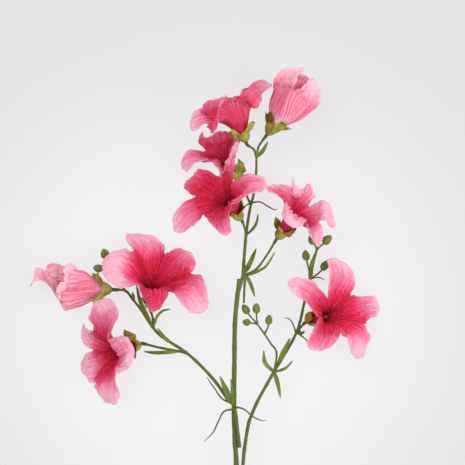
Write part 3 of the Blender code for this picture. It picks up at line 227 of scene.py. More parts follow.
# The nine blooms: five on the main stem, the sixth on the right branch, three on the left one.
BLOOMS = {
    "1": Bloom((269, 132, 36), 54, 8, 18, (
        Lobe(0, 20, 20, 12, -30, phase=1.0, edge=(
            (308, 86, 0), (310.5, 80, 0), (305, 75.5, 0), (297, 73, 0), (289, 78, 0),
            (299, 84, -3))),
        Lobe(0, 18, 22, 14, -30, phase=2.4, edge=(
            (276, 82, 0), (281, 72, 0), (285, 69, 0), (287, 70, 0), (283, 80, 0), (276, 79, 0))),
        Lobe(-4, 21.5, 22, 14, -35, phase=0.3, edge=(
            (281, 76, 0), (289, 67.5, 0), (304, 67.5, -4), (299, 74.5, 0), (296, 83, 0),
            (289, 79, 2))),
        Lobe(0, 18, 22, 16, -25, phase=3.6, edge=(
            (302, 88, 0), (312, 79.5, 0), (317.5, 83, -2), (321.5, 94, 0), (320, 103, 0),
            (311, 95, 0))),
        Lobe(4, 20, 20, 12, -25, phase=5.0, edge=(
            (319, 103, 0), (321, 95, 0), (318, 86, 0), (314, 78, 0), (308, 84, 0), (313, 94, -2)))),
        HALF_SHUT, 4, 14, 24,
        ((1, 276, 93, 0), (2, 282, 91, 0), (3, 293, 91, 0), (4, 315, 108, 0), (5, 303, 90, 0)),
        sepals=(
            (2, 1.5, (266, 113, 0), (268.5, 120, 0), (265.5, 118, 0)),
            (3, 1.7, (269.5, 112, 0), (265, 118, 0), (274, 121, 0)),
            (4, 0, (287, 124, 0), (278, 121, 0), (280, 131, 0)),
            (5, 0.2, (287.5, 129.5, 0), (283, 130, 0), (282, 127, 0)))),
    "2": Bloom((245, 139, 50), 112, 4, 20, (
        Lobe(-12, 34, 30, 62, 12, phase=0.6, shade=-0.12, edge=(
            (236, 97, 0), (228, 97, 6), (216, 99, 4), (205, 104, 6), (203, 111.5, 6),
            (217, 105, 4)),
            more=((1, 0.25, 207, 114.5, 2),)),
        Lobe(4, 24, 26, 85, 50, phase=2.2, shade=0.02, edge=(
            (200, 108.5, 0), (191, 117, 0), (190, 126, 0), (194, 132, 0), (205, 123.5, 0),
            (201, 115, 4))),
        Lobe(-16, 20, 22, 85, 60, phase=4.1, shade=-0.3, edge=(
            (208, 125, 0), (210, 131, 0), (215, 130, 0), (219, 103, -2), (226, 95.5, 0),
            (217, 116, 2))),
        Lobe(-10, 14, 20, 76, 34, phase=5.3, shade=-0.42, edge=(
            (237, 95, 0), (246, 88.5, 0), (258, 90, 0), (262, 101, 0), (256, 106.5, 0),
            (247, 98, 0))),
        Lobe(-25, 18, 24, 68, 20, phase=1.4, shade=-0.03, edge=(
            (262, 93, 0), (269, 87.5, 0), (272.5, 84.5, 0), (264, 81, 0), (253, 84, 0),
            (260, 87, 2)))),
        BROAD, 4, 12, 24,
        ((1, 211, 111, 0), (2, 218, 121, 0), (3, 229, 101, 0), (4, 248, 106, 0), (5, 241, 97, 0)),
        0.04, sepals=(
            (3, 0.35, (231.5, 132.5, 0), (233, 138, 0), (240.5, 134.5, 0)),
            (4, 0.3, (254, 122.5, 0), (245.5, 130, 0), (253, 128, 0)),
            (5, 0.9, (255, 122, 0), (252, 127, 0), (249, 128, 0)))),
    "3": Bloom((240, 178, 17), 134, 26, -18, (
        Lobe(-7, 18, 30, 78, 20, phase=3.0, shade=-0.22, edge=(
            (235, 137, 0), (231, 132, 0), (217, 132, 0), (202.5, 131.5, 4), (198, 142, 6),
            (218, 142, 0)),
            more=((-0.5, 1, 225, 131, 0), (0.5, 1, 209, 136.5, 2))),
        Lobe(-6, 25.5, 26, 72, 35, phase=0.2, shade=0.06, edge=(
            (190, 149.5, 4), (182.5, 156, 4), (181, 166, 6), (187, 172.5, 2), (201, 162, 0),
            (192, 157, 6)),
            more=((0, 0.25, 201, 156, 2),)),
        Lobe(24, 14, 22, 80, 45, phase=1.9, shade=0.04, edge=(
            (219, 179, -8), (214, 188, -12), (221, 191, -16), (228, 185, -14), (229, 176, -8),
            (223, 181, -10)),
            more=((-1, 0.25, 219.5, 171.5, -3),)),
        Lobe(-2, 12, 19, 85, 50, phase=4.4, shade=0.08, edge=(
            (229, 170, -4), (232, 167, -6), (234.5, 158, -6), (236, 150, -6), (236, 148, -4),
            (232, 160, -5))),
        Lobe(15, 8, 16, 88, 60, phase=5.6, edge=(
            (238, 143, 0), (240, 141, 0), (239, 138, 0), (235, 136, 0), (234, 138, 0),
            (237, 141, 0)))),
        Tube(), 4, 15, 22,
        ((1, 206, 151.5, 0), (2, 213.5, 162, -1), (3, 228, 171, -3), (4, 236, 147, 0),
         (5, 233, 141, 0)), 0.04, sepals=(
            (4, 0.1, (240, 161, 0), (234.5, 168, 0), (246, 168.5, 0)),
            (5, 0.3, (243.5, 163, 0), (246, 170, 0), (239, 168, 0)))),
    "4": Bloom((239.5, 217, 50), 125, 45, 19, (
        Lobe(4, 21.5, 34, 70, 25, phase=0.9, shade=-0.24, edge=(
            (208, 170.5, 0), (196, 168, -2), (189, 179, 0), (186, 190, 3), (190, 194, 2),
            (201, 183, 0)),
            more=((-0.5, 1, 195, 172, 2),)),
        Lobe(2, 29.5, 26, 72, 25, phase=3.2, shade=0.04, edge=(
            (183, 204, 0), (173, 220, 0), (175, 232, 0), (186, 230, 0), (197, 223, 0),
            (189, 213, 0))),
        Lobe(-6, 25.5, 26, 72, 25, phase=5.1, shade=-0.08, edge=(
            (210, 223, 0), (219, 232, 0), (226, 235.5, 0), (232, 231.5, 0), (230, 218, 0),
            (220, 222, 0))),
        Lobe(5, 17.5, 26, 72, 25, phase=2.0, shade=-0.02, edge=(
            (247, 195.5, 0), (261, 192, 0), (267, 186, 0), (264, 177, 0), (250, 174, 0),
            (250, 186, 2))),
        Lobe(8, 28.5, 22, 60, 25, 60, phase=0.0, shade=0.1, edge=(
            (235, 161, -4), (238, 150, -4), (237, 141, 0), (232, 149, 4), (225, 163, 6),
            (230, 161, 3)))),
        Tube(), 4, 12, 26,
        ((1, 197, 197, 0), (2, 204, 214, 0), (3, 231, 204, 0), (4, 233, 181, -2), (5, 222, 179, 0)),
        sepals=(
            (3, 0.5, (231.5, 213.5, 0), (232, 216.5, 0), (236, 214, 0)),
            (4, 0.9, (245.5, 206.5, 2), (239, 214, 3), (241.5, 205, 3)),
            (5, 0.1, (241, 196.5, 6), (243.5, 204, 5), (237, 205, 6)))),
    "5": Bloom((279, 236, 26), 55, 32, 15, (
        Lobe(11, 22.5, 30, 72, 8, phase=4.0, shade=0.05, edge=(
            (312, 200, 0), (314.5, 195, 0), (304, 187, 0), (292, 176, 6), (291, 190, 6),
            (301, 196, -2)),
            more=((0.55, 1, 298, 189, 0), (0.55, 0.5, 297, 197, 2))),
        Lobe(23, 17, 26, 40, 5, phase=1.1, shade=-0.02, edge=(
            (290.5, 188, -8), (281, 184, -12), (267, 186, -12), (270, 190, -14), (277, 196, -14),
            (281, 191, -12))),
        Lobe(12, 18, 27, 45, 80, phase=2.8, shade=0.2, edge=(
            (284, 204, 0), (281.5, 213, 0), (286, 223, 0), (296, 227.5, 0), (303, 225, 0),
            (288, 213, 4))),
        Lobe(-4, 22, 22, 72, 15, phase=0.4, shade=0.06, edge=(
            (310, 232, 0), (315, 243.5, 0), (319, 247, 0), (321.5, 240, 0), (320.5, 228, 0),
            (315.5, 230, 2))),
        Lobe(-12, 16.5, 28, 72, 5, phase=5.5, shade=0.24, edge=(
            (326.5, 223, 1), (333, 228, 2), (335, 223, 2), (330, 206, 2), (320.5, 200.5, 2),
            (324, 211, 2)))),
        Tube(), 4, 13, 26,
        ((1, 291, 199, -2), (2, 288, 201, 0), (3, 305, 221, 0), (4, 317, 219, 0), (5, 308, 206, 0)),
        sepals=(
            (2, 0.15, (275.5, 217, 0), (281.5, 223, 0), (274, 226, 0)),
            (3, 0.2, (281, 229, -2), (278, 231, 0), (283, 233, 0)),
            (4, 0.7, (296.5, 229.5, 0), (287, 232.5, 0), (290, 237, 0)),
            (5, 0.8, (296, 227, 0), (290, 232, 0), (289, 229, 0)))),
    "6": Bloom((310, 321, 7), 20, 50, -12, (
        Lobe(5, 31, 30, 74, 14, phase=2.5, edge=(
            (369, 318.5, 0), (376.5, 317, -2), (378.5, 306, -4), (374, 295, 0), (361, 296.5, 0),
            (362, 308, -1.5))),
        Lobe(0, 28, 28, 72, 25, phase=0.8, shade=0.05, edge=(
            (355.5, 283, 0), (351.5, 269.5, 0), (339, 259, 0), (326.5, 260, 0), (329, 279, 0),
            (342, 278, 0))),
        Lobe(-1, 34.5, 26, 72, 25, phase=4.7, shade=0.1, edge=(
            (314, 282, 0), (300, 277.5, 0), (289, 281, 0), (293, 293, 0), (303, 300, 0),
            (308, 290, 0))),
        Lobe(1, 21.5, 28, 72, 25, phase=3.5, shade=-0.1, edge=(
            (311, 334, 0), (306, 343, 0), (315, 350.5, 0), (331, 347.5, 0), (338.5, 338, 0),
            (323, 338, 0))),
        Lobe(5, 22, 30, 72, 25, phase=1.7, shade=0.12, edge=(
            (348.5, 341, 0), (351.5, 354, 0), (358, 358.5, 0), (366.5, 350, 0), (369.5, 338, 0),
            (358, 339, 0)))),
        Tube(), 36, 13, 20,
        ((1, 350, 296, 0), (2, 328, 299, 0), (3, 319, 318, 0), (4, 341, 332, 0), (5, 364, 324, 0)),
        sepals=(
            (2, 0.1, (315, 308.5, 0), (316, 312, 0), (312, 313, 0)),
            (3, 0.9, (311, 311.5, 0), (307, 313, 0), (307.5, 323, 0), (304.7, 318, 0)),
            (4, 0, (317, 326.5, 0), (312, 323, 0), (315, 328, 0)))),
    "7": Bloom((150, 305, 12), 88, 50, 20, (
        Lobe(-4, 33.5, 27, 72, 25, phase=5.8, shade=0.12, edge=(
            (164.5, 246, 0), (153, 235.5, 0), (130, 232, 0), (127, 239.5, 0), (130, 245.5, 4),
            (147, 245, 0)),
            more=((0.5, 1, 126, 233, 0),)),
        Lobe(-15, 22.5, 31, 72, 28, phase=1.3, shade=0.2, edge=(
            (122, 248.5, -2), (106, 256, 0), (101.5, 268, 0), (108, 281.5, 0), (122, 288, 0),
            (119, 268, 2))),
        Lobe(24, 16.5, 20, 60, 25, phase=3.9, shade=-0.24, edge=(
            (142.5, 297, 0), (148, 307, 0), (152.5, 313, 0), (161, 305, 0), (168.5, 294, 0),
            (153, 299, 4)),
            more=((0, 0.25, 152, 289, 3),)),
        Lobe(5, 33, 34, 72, 25, phase=2.1, shade=0.05, edge=(
            (177, 298, 0), (188, 310, 0), (203, 312.5, 0), (207, 292, 0), (202, 276, 0),
            (189, 291, 0)),
            more=((-0.5, 1, 195, 313.5, 0),)),
        Lobe(-2, 25.5, 34, 72, 25, phase=0.5, shade=-0.05, edge=(
            (192, 271, 0), (196, 264, 0), (192, 253.5, 0), (180, 248.5, 0), (171, 250.5, 0),
            (181, 260, 0)))),
        Tube(), 30, 11, 24,
        ((1, 134, 251, 0), (2, 138, 285, 0), (3, 168, 287, 0), (4, 189, 273, 0), (5, 165, 255, 0))),
    "8": Bloom((109, 289.5, 20), 178, 4, 36, (
        Lobe(0, 18, 19, 9, 0, phase=0.7, edge=(
            (46, 270, 4), (37, 270, 2), (33, 279, 0), (31, 286.5, 0), (47, 284.5, 0),
            (43, 277, 4))),
        Lobe(0, 16, 21, 12, -10, phase=2.9, edge=(
            (58, 298, 0), (56, 295, 0), (58, 299, 0), (62, 303, 0), (64, 304, 0), (61, 300, 0))),
        Lobe(3, 26.5, 21, 8, 0, phase=4.3, edge=(
            (59, 298, 0), (56, 293, -2), (57, 287, -2), (61, 282, 0), (65, 283, 0), (61, 291, 0))),
        Lobe(-6, 22, 21, 14, 0, phase=1.6, edge=(
            (64, 281, 2), (62.5, 272, 2), (67, 264.5, 0), (73, 264.5, 0), (77, 269, 0),
            (71, 275, -5))),
        Lobe(0, 18, 19, 9, 0, phase=5.2, edge=(
            (62, 265, 0), (53, 262, 0), (46, 268, 0), (49, 284, 0), (55, 288, 0), (55, 275, 0)))),
        HALF_SHUT, 4, 14, 26,
        ((1, 68, 308, 0), (2, 63, 302, 0), (3, 69, 287, 0), (4, 78, 271, 0), (5, 62, 285, 0)),
        0.22, sepals=(
            (2, 0, (93, 305.5, 0), (96, 299, 0), (99, 305, 0)),
            (3, 0.3, (97, 303, 0), (101.5, 301, 0), (101, 293, 0)),
            (4, 0.7, (97.5, 272.5, 0), (101, 285, 0), (100.5, 277, 0)),
            (5, 0, (92, 279, 0), (97.5, 275.5, 0), (96, 283, 0)))),
    "9": Bloom((138, 345, 10.8), 195, 40, -50, (
        Lobe(0, 18, 22, 72, 25, phase=3.3, shade=0.14, edge=(
            (89, 330, 0), (84, 322.5, 0), (81.5, 332, 0), (83, 341, 0), (88, 347.5, 0),
            (90, 338, 0))),
        Lobe(0, 25.5, 26, 74, 18, phase=0.1, shade=0.18, edge=(
            (87, 353, 0), (82, 361, 0), (82, 371, 0), (89, 380.5, -2), (95, 383, 0), (91, 367, 0))),
        Lobe(-12, 22.5, 24, 72, 25, phase=5.4, shade=0.14, edge=(
            (94, 389, 0), (101, 398, 0), (110, 403, 0), (117.5, 403.5, 0), (119.5, 390, 0),
            (106, 390, 0))),
        Lobe(-8, 19, 27, 62, 55, phase=1.8, shade=0.12, edge=(
            (118, 373.5, 0), (128, 370, 0), (134.5, 354, 0), (129, 338.5, 0), (119, 336, 0),
            (127, 354, 2))),
        Lobe(-1, 33.5, 28, 72, 25, phase=4.5, shade=0.12, edge=(
            (117.5, 320, 0), (117, 307, 0), (110, 298.5, 0), (95, 302, 0), (89.5, 315, 0),
            (103, 315, 0)))),
        Tube(), 52, 13.5, 50,
        ((1, 94, 350, 0), (2, 96.5, 381.5, 0), (3, 115, 371, 0), (4, 108, 339, 0),
         (5, 93.5, 331, 0)),
        sepals=(
            (2, 0.3, (135.5, 357.5, 0), (133, 354, 0), (136.5, 350, 0)),
            (3, 0.4, (135.5, 334, -12), (137.5, 345, 0), (134, 340, 0)),
            (4, 0.25, (124.5, 329.5, 0), (134, 334.5, 0), (126, 339.5, 0)))),
}


class Stalk(NamedTuple):
    """A round tapering stalk or tendril through picture squares with heights.

    Where its path ends with a bloom's number, it goes on into that bloom's calyx.
    """
    path: tuple
    start: float
    end: float


class Leaf(NamedTuple):
    """A narrow blade along picture squares with heights, pointed at both ends."""
    path: tuple
    width: float
    fold: float = 0.25


class Bud(NamedTuple):
    """A closed bud on its stalk's end, from its foot to its tip."""
    foot: tuple
    tip: tuple
    radius: float = 3.0


# The three stems: each one's own stalk first, then what grows from it.
MAIN_STEM = (
    Stalk(((236, 560, 2.7), (236.4, 515, 9), (236.4, 465, 18), (235, 440, 22.5), (234, 405, 27),
           (234.5, 362, 30), (235, 325, 31), (237, 300, 31.5), (239.6, 279, 32)), 2.25, 1.9),
    Stalk(((238.6, 291, 31.6), (242.7, 276, 31.5), (244, 260, 31), (246.4, 232.7, 31),
           (250, 209, 31), (254, 192.7, 31), (256.3, 171, 32.5), (256.3, 154, 35)), 1.5, 0.9),
    Stalk(((250.6, 204, 31), (246.4, 195, 28), (244.5, 188, 22), "3"), 0.95, 0.85),
    Stalk(((246, 236, 31), (245, 229, 35), "4"), 0.95, 0.85),
    Stalk(((244.4, 275, 31.2), (256.4, 269, 28), (267.3, 254.5, 24), "5"), 0.95, 0.9),
    Stalk(((256.3, 156, 34.7), (253.8, 149.5, 40), "2"), 0.9, 0.85),
    Stalk(((256.3, 156, 34.7), (259, 146, 36), "1"), 0.9, 0.85),
    Stalk(((245.4, 275, 31.2), (244.4, 287, 31.5), (243.8, 303, 31)), 1.15, 0.9),
    Stalk(((250.8, 203, 31), (260, 202, 32), (268, 206.5, 31), (274, 209.5, 29), (278, 209, 28)),
          0.7, 0.5),
    Stalk(((250.6, 203, 31), (244.2, 206.4, 30)), 0.6, 0.45),
    Leaf(((246.4, 235, 31.4), (253.5, 228, 33), (257, 221, 34), (258, 213.7, 34)), 2.4),
    Leaf(((245, 275.4, 31.4), (254, 272.6, 32.5), (265.5, 266.5, 33), (275, 252, 31)), 2.6),
    Leaf(((244.6, 272, 31.4), (250, 263, 34), (256.4, 248, 36)), 4.2),
    Leaf(((244.8, 273.5, 31), (250.6, 284, 30), (255, 297, 27)), 3.2),
    Leaf(((256.4, 157, 34.7), (262.6, 151, 38), (268, 141.5, 40.5)), 3.4),
    Leaf(((256.4, 157, 35), (257.2, 152.6, 37.6), (257, 149, 39.6)), 2.2, 0.2),
)

LEFT_BRANCH = (
    Stalk(((239.6, 447, 23.4), (237.4, 428, 27.4), (234.4, 407, 30.8), (227, 398, 31),
           (215.4, 381.6, 27.5), (200.7, 365.5, 25), (186, 352.3, 22), (171.4, 342.8, 19.5),
           (159.6, 334.7, 17.5), (150.8, 324.4, 15.5), (142, 311, 14), (133, 299.5, 13),
           (125.9, 291, 14), "8"), 1.5, 1.05),
    Stalk(((153, 327.5, 16), (153, 319, 11), "7"), 1.15, 1.0),
    Stalk(((186.5, 352.6, 22), (170, 349.6, 17), (157, 347, 12), "9"), 1.2, 1.0),
    Stalk(((126.2, 291.6, 13.8), (117, 280, 11), (110, 266, 9.5), (106.4, 258, 9)), 0.9, 0.7),
    Stalk(((114.5, 275, 10.6), (107, 269.6, 9), (102, 268.8, 8.5)), 0.8, 0.7),
    Stalk(((232, 403.6, 31.6), (222, 398.5, 31), (215, 389, 31.5), (206.6, 377, 32)), 0.8, 0.5),
    Stalk(((234.4, 409, 31.4), (224, 411.5, 31), (218, 422, 27), (212.7, 432.7, 23),
           (203.6, 441.8, 21)), 0.8, 0.5),
    Stalk(((234.4, 407, 31.8), (243.6, 409, 34), (252.7, 416.4, 32), (260, 420, 30),
           (266.4, 420.4, 29)), 0.8, 0.5),
    Leaf(((230.6, 402, 31.5), (226.4, 391, 34.5), (219.8, 375.8, 36)), 4.8),
    Leaf(((233, 404.4, 32), (232.8, 392, 35.5), (230.8, 378.7, 37)), 3.4),
    Leaf(((152.6, 327, 16), (146.2, 315, 14), (140.2, 301, 11), (136.4, 284.5, 9)), 4.0),
    Leaf(((153.4, 327.6, 16), (157, 316.6, 15), (162.6, 311, 14), (170.5, 309, 13)), 2.4),
    Leaf(((170.4, 342.4, 19.6), (164, 337, 22), (157.4, 328, 23)), 3.2),
    Leaf(((178, 351.4, 19.8), (165.5, 352.4, 16), (154, 352.6, 12), (143.5, 351.5, 8.6)), 3.2),
    Leaf(((133.8, 300, 13), (133.4, 296.6, 15.6), (132.6, 292, 17)), 2.6, 0.2),
    Bud((106.6, 258.6, 9), (103.4, 248.6, 8.6), 3.2),
    Bud((102.6, 268.9, 8.5), (93, 267.4, 8), 3.0),
)

RIGHT_BRANCH = (
    Stalk(((241.3, 500, 12.2), (241.8, 482, 15.5), (243, 465, 18), (244.5, 449, 20),
           (248.2, 425.5, 23), (251.8, 414.5, 24), (258.2, 400, 24.5), (267.3, 383.6, 24),
           (274.5, 371, 23), (281.8, 359, 21.5), (289, 347, 19.5), (296.4, 332.7, 17),
           (300.5, 320, 15), (304.5, 301.8, 13), (310.9, 276.4, 13), (313.6, 261.8, 14),
           (317.3, 248, 15)), 1.65, 1.0),
    Stalk(((297.4, 331, 16.6), (300, 328, 10), (303, 324.6, 5), "6"), 1.1, 1.0),
    Stalk(((274.5, 371, 23), (276.6, 352.7, 26), (270.9, 343.6, 27), (263.6, 332.7, 28),
           (257, 323.5, 28)), 0.95, 0.7),
    Stalk(((257.4, 324, 28), (251, 317, 27.4), (247.6, 312.6, 27)), 0.7, 0.65),
    Stalk(((257.4, 324, 28), (256.6, 317, 29), (256.6, 312.6, 30)), 0.7, 0.65),
    Stalk(((257.4, 324, 28), (252, 323, 26.5), (249.6, 322.6, 26)), 0.7, 0.65),
    Stalk(((264.4, 334, 28), (267.6, 328, 29), (268.6, 323.6, 29.6)), 0.7, 0.65),
    Stalk(((296.2, 333.4, 17), (292.7, 323.6, 17), (289, 319, 16), (284.5, 317.6, 15)), 0.7, 0.5),
    Stalk(((296.8, 332.6, 16.8), (303.6, 337.6, 13), (308, 342, 10), (310.8, 350, 7)), 0.7, 0.5),
    Stalk(((310.6, 278.6, 13), (308, 266, 13.4), (306.6, 259.6, 13.4)), 0.8, 0.65),
    Stalk(((310.6, 279, 13), (318.3, 273.4, 8.6), (322.4, 269.4, 7)), 0.8, 0.65),
    Stalk(((311.4, 278.4, 12), (319, 277.4, 7.4), (324.7, 280, 6)), 0.6, 0.5),
    Stalk(((317, 249, 15), (315.2, 245.6, 16), (314, 243.4, 16.6)), 0.8, 0.7),
    Stalk(((317, 249, 15), (321.6, 245.2, 16), (324, 243.2, 16.4)), 0.8, 0.7),
    Leaf(((274, 372, 23), (265, 362.6, 26), (263.6, 350, 28)), 3.4),
    Leaf(((277.8, 365, 22.4), (283.6, 352, 26), (290, 337.8, 28)), 4.2),
    Leaf(((274.4, 372, 22.8), (285.5, 368, 20), (292.7, 360.5, 18)), 2.4),
    Leaf(((273.8, 370.6, 22.8), (277.8, 384, 20), (280.5, 398.2, 16)), 3.6),
    Leaf(((298.2, 328.8, 16.2), (301, 333.4, 18), (304.8, 331, 18)), 2.6, 0.2),
    Leaf(((310.2, 279.6, 13.2), (311.3, 267, 18), (314.6, 253.4, 20)), 4.0),
    Bud((248.4, 313.6, 27.2), (242.8, 304.4, 26.6), 2.7),
    Bud((256.6, 313.2, 30), (256.4, 303, 31), 2.8),
    Bud((250.4, 322.7, 26.2), (242.4, 321.6, 25), 2.5),
    Bud((268.4, 324.6, 29.4), (269.6, 314.6, 30), 2.6),
    Bud((306.8, 260.4, 13.4), (305, 250, 13), 2.8),
    Bud((321.8, 270, 7.2), (328.6, 260.6, 6.4), 2.9),
    Bud((314.4, 244.2, 16.4), (309.8, 235, 18), 3.0),
    Bud((323.4, 243.8, 16.2), (331.4, 235.6, 17), 3.1),
)

STEMS = {"main_stem": MAIN_STEM, "left_branch": LEFT_BRANCH, "right_branch": RIGHT_BRANCH}


def smooth(share):
    """The soft step 3t^2 - 2t^3 of a share held between 0 and 1."""
    held = np.clip(share, 0.0, 1.0)
    return held * held * (3.0 - 2.0 * held)


def unit(vectors):
    """The same vectors at length one."""
    return vectors / np.maximum(np.linalg.norm(vectors, axis=-1, keepdims=True), 1e-12)


def crumple(points, size, seed, waves=7):
    """A soft uneven field between about -1 and 1: a sum of sines, each along a seeded direction."""
    draw = np.random.default_rng(int(seed))
    ways = unit(draw.normal(size=(waves, 3))) * draw.uniform(0.7, 1.5, (waves, 1))
    ways = ways * 2.0 * np.pi / size
    return np.sin(points @ ways.T + draw.uniform(0.0, 2.0 * np.pi, waves)).sum(-1) / np.sqrt(waves)


def sheet_normals(points):
    """The unit normals of a grid of points: the cross product of its two neighbour differences."""
    return unit(np.cross(np.gradient(points, axis=-3), np.gradient(points, axis=-2)))


def bloom_axes(bloom):
    """The bloom's own axes as rows: fore, side and the way it looks."""
    azimuth, elevation = np.radians((bloom.azimuth, bloom.elevation))
    ahead, aside = np.cos(azimuth), np.sin(azimuth)
    level, raised = np.cos(elevation), np.sin(elevation)
    fore = (ahead * raised, aside * raised, -level)
    side = (-aside, ahead, 0.0)
    look = (ahead * level, aside * level, raised)
    return np.array((fore, side, look))


def placed(bloom, points):
    """Points of the bloom's own axes moved to the spray."""
    return np.asarray(points) @ bloom_axes(bloom) + np.array(spot(*bloom.base))


def meridian(tube, lobe, reached):
    """Radius, height and slope at an arc length, summed along the lobe's middle line."""
    steps = np.linspace(0.0, tube.joined + BLADE_OVERRUN * lobe.length, LINE_STEPS)
    base, mouth, spread = np.radians((tube.base_angle, tube.mouth_angle, lobe.spread))
    slope = base + (mouth - base) * smooth(steps / tube.length)
    slope = slope + (spread - mouth) * smooth((steps - tube.length + FLARE_LEAD) / tube.flare)
    free = np.clip((steps - tube.joined) / lobe.length, 0.0, BLADE_OVERRUN)
    slope = slope + np.radians(lobe.curl) * free ** CURL_POWER
    middle = (slope[1:] + slope[:-1]) / 2.0
    radius = TUBE_BASE_RADIUS + np.concatenate(([0.0], np.cumsum(np.sin(middle)) * steps[1]))
    height = np.concatenate(([0.0], np.cumsum(np.cos(middle)) * steps[1]))
    return [np.interp(reached, steps, values) for values in (radius, height, slope)]


def lobe_surface(tube, lobe, centre, across, reached, free):
    """One lobe over (across, reached): round the tube where joined, an arched blade where free.

    The blade's half-width rises by a sine to its widest place and narrows by a power to its tip.
    Across, it bends on a circle, twists with the free share and waves with the square of across.
    """
    radius, height, slope = meridian(tube, lobe, reached)
    sector = np.radians(LOBE_STEP / 2.0)
    split = meridian(tube, lobe, np.array([tube.joined]))[0][0] * sector
    rise = np.sin(np.clip(free / WIDEST, 0.0, 1.0) * np.pi / 2.0)
    narrow = 1.0 - (1.0 - TIP_WIDTH) * np.clip((free - WIDEST) / WIDEST, 0.0, 1.0) ** TIP_POWER
    blade = (split + (lobe.width / 2.0 - split) * rise) * narrow
    half = np.where(free > 0.0, blade, radius * sector)
    turn = np.radians(centre)
    round_by = turn + across * half / radius
    joined = np.stack((radius * np.cos(round_by), radius * np.sin(round_by), height), -1)
    outward = np.array((np.cos(turn), np.sin(turn), 0.0))
    sideways = np.array((-np.sin(turn), np.cos(turn), 0.0))
    upward = np.array((0.0, 0.0, 1.0))
    inward = np.sin(slope)[..., None] * upward - np.cos(slope)[..., None] * outward
    opened = smooth(free / WIDEST)
    bend = sector * np.cos(slope) * (1.0 - opened) + np.radians(lobe.cup) * opened
    bend = np.where(np.abs(bend) < NEARLY_STRAIGHT, NEARLY_STRAIGHT, bend)
    twist = (np.radians(lobe.twist) * smooth(free))[..., None]
    wide = sideways * np.cos(twist) + inward * np.sin(twist)
    normal = inward * np.cos(twist) - sideways * np.sin(twist)
    wave = across ** 2 * smooth(free / EDGE_RISE)
    wave = wave * np.sin(EDGE_WAVES * free + lobe.phase + EDGE_SHIFT * np.sign(across))
    sidestep = (half * np.sin(bend * across) / bend)[..., None]
    lift = (half * (1.0 - np.cos(bend * across)) / bend + wave)[..., None]
    ridge = radius[..., None] * outward + height[..., None] * upward
    blend = smooth(free / PARTED)[..., None]
    return (1.0 - blend) * joined + blend * (ridge + sidestep * wide + lift * normal)


def lobe_relief(lobe, across, reached, free, joined):
    """How far a lobe stands off its plain form: fan-like pleats, a middle groove and a frilled rim.

    Pleats are cosines of across, strongest at the mouth. The frill is a sum of sines of the angle
    round the blade, raised by a steep power toward the rim.
    """
    mouth = smooth(reached / joined * PLEAT_RISE - PLEAT_START)
    mouth = mouth * (1.0 - PLEAT_LOSS * smooth(free / PLEAT_REACH))
    bent = across + PLEAT_BEND * np.sin(4.0 * free + lobe.phase)
    sway = PLEAT_SWAY * np.sin(5.0 * free + lobe.phase)
    pleats = FINE_PLEAT * np.cos(FINE_PLEATS * np.pi * bent + sway) * mouth
    sway = lobe.phase * (1.0 - across ** 2)
    pleats = pleats + BROAD_PLEAT * np.cos(BROAD_PLEATS * np.pi * bent + sway) * mouth
    groove = -GROOVE_DEPTH * np.exp(-(across / GROOVE_WIDTH) ** 2) * mouth
    angle = np.arctan2(free * BLADE_ASPECT, across)
    rim = np.abs(across) ** SIDE_RIM_POWER * smooth(free / RIM_START) + free ** END_RIM_POWER
    rim = np.clip(rim, 0.0, 1.0)
    frills = (depth * np.sin(waves * angle + shift * lobe.phase) for depth, waves, shift in FRILLS)
    return pleats + groove + rim * sum(frills)


def grid_places(spots, columns, foot, rows):
    """The rows and columns nearest to spots (across, share) of a blade above its foot's rows."""
    down = foot - 1 + np.rint(spots[:, 1] * rows).astype(int)
    aside = np.rint((spots[:, 0] + 1.0) / 2.0 * (columns - 1)).astype(int)
    return down, aside


def squares_at(squares, held):
    """The places of picture squares (x, y, lift), each lifted from the height of its held point."""
    return np.array([spot(x, y, high + lift) for (x, y, lift), high in zip(squares, held[:, 2])])


def drawn(points, side, free, spots, held, wanted):
    """Points of a blade, drawn so that its held places move to the wanted ones.

    A spot is (across, share of the blade). Its reach is a Gaussian of both, fading to the blade's
    foot, and the weights are solved so that all are met at once.
    """
    def reach(over, along):
        aside = (over[..., None] - spots[:, 0]) / PULL_ACROSS
        ahead = (along[..., None] - spots[:, 1]) / PULL_ALONG
        return np.exp(-aside ** 2 - ahead ** 2)

    weights = np.linalg.solve(reach(*spots.T), wanted - held)
    return points + (reach(side, free) * smooth(free / FOOT_SHARE)[..., None]) @ weights


def pulled(points, side, raw, lobe):
    """A lobe's placed points, drawn so that its named places meet their picture squares.

    Where no place is named on a side's first quarter, it is drawn half-way from the notch to the
    side's next place.
    """
    pulls = [(*place, *square) for place, square in zip(EDGE_PLACES, lobe.edge)] + list(lobe.more)
    spots = np.array([pull[:2] for pull in pulls])
    rows, columns = grid_places(spots, ACROSS_COLUMNS, TUBE_ROWS, BLADE_ROWS)
    held = points[rows, columns]
    wanted = squares_at([pull[2:] for pull in pulls], held)
    quarter = TUBE_ROWS - 1 + round(FOOT_SHARE * BLADE_ROWS)
    for end, half_way in ((0, 0), (-1, 4)):
        if (side[0, end], FOOT_SHARE) not in {pull[:2] for pull in pulls}:
            spots = np.vstack((spots, (side[0, end], FOOT_SHARE)))
            held = np.vstack((held, points[quarter, end]))
            wanted = np.vstack((wanted, (points[TUBE_ROWS - 1, end] + wanted[half_way]) / 2.0))
    at_end = columns[rows == len(side) - 1]
    return rounded(drawn(points, side, raw, spots, held, wanted), side, raw, at_end)


def rounded(points, side, raw, columns):
    """A blade's points, its end eased to the plainest polynomial through its named places."""
    powers = np.arange(len(columns))
    factors = np.linalg.solve(side[-1, columns][:, None] ** powers, points[-1, columns])
    bow = side[-1][:, None] ** powers @ factors
    return points + (bow - points[-1]) * smooth((raw - ROUNDED_FROM) / ROUNDED_OVER)[..., None]


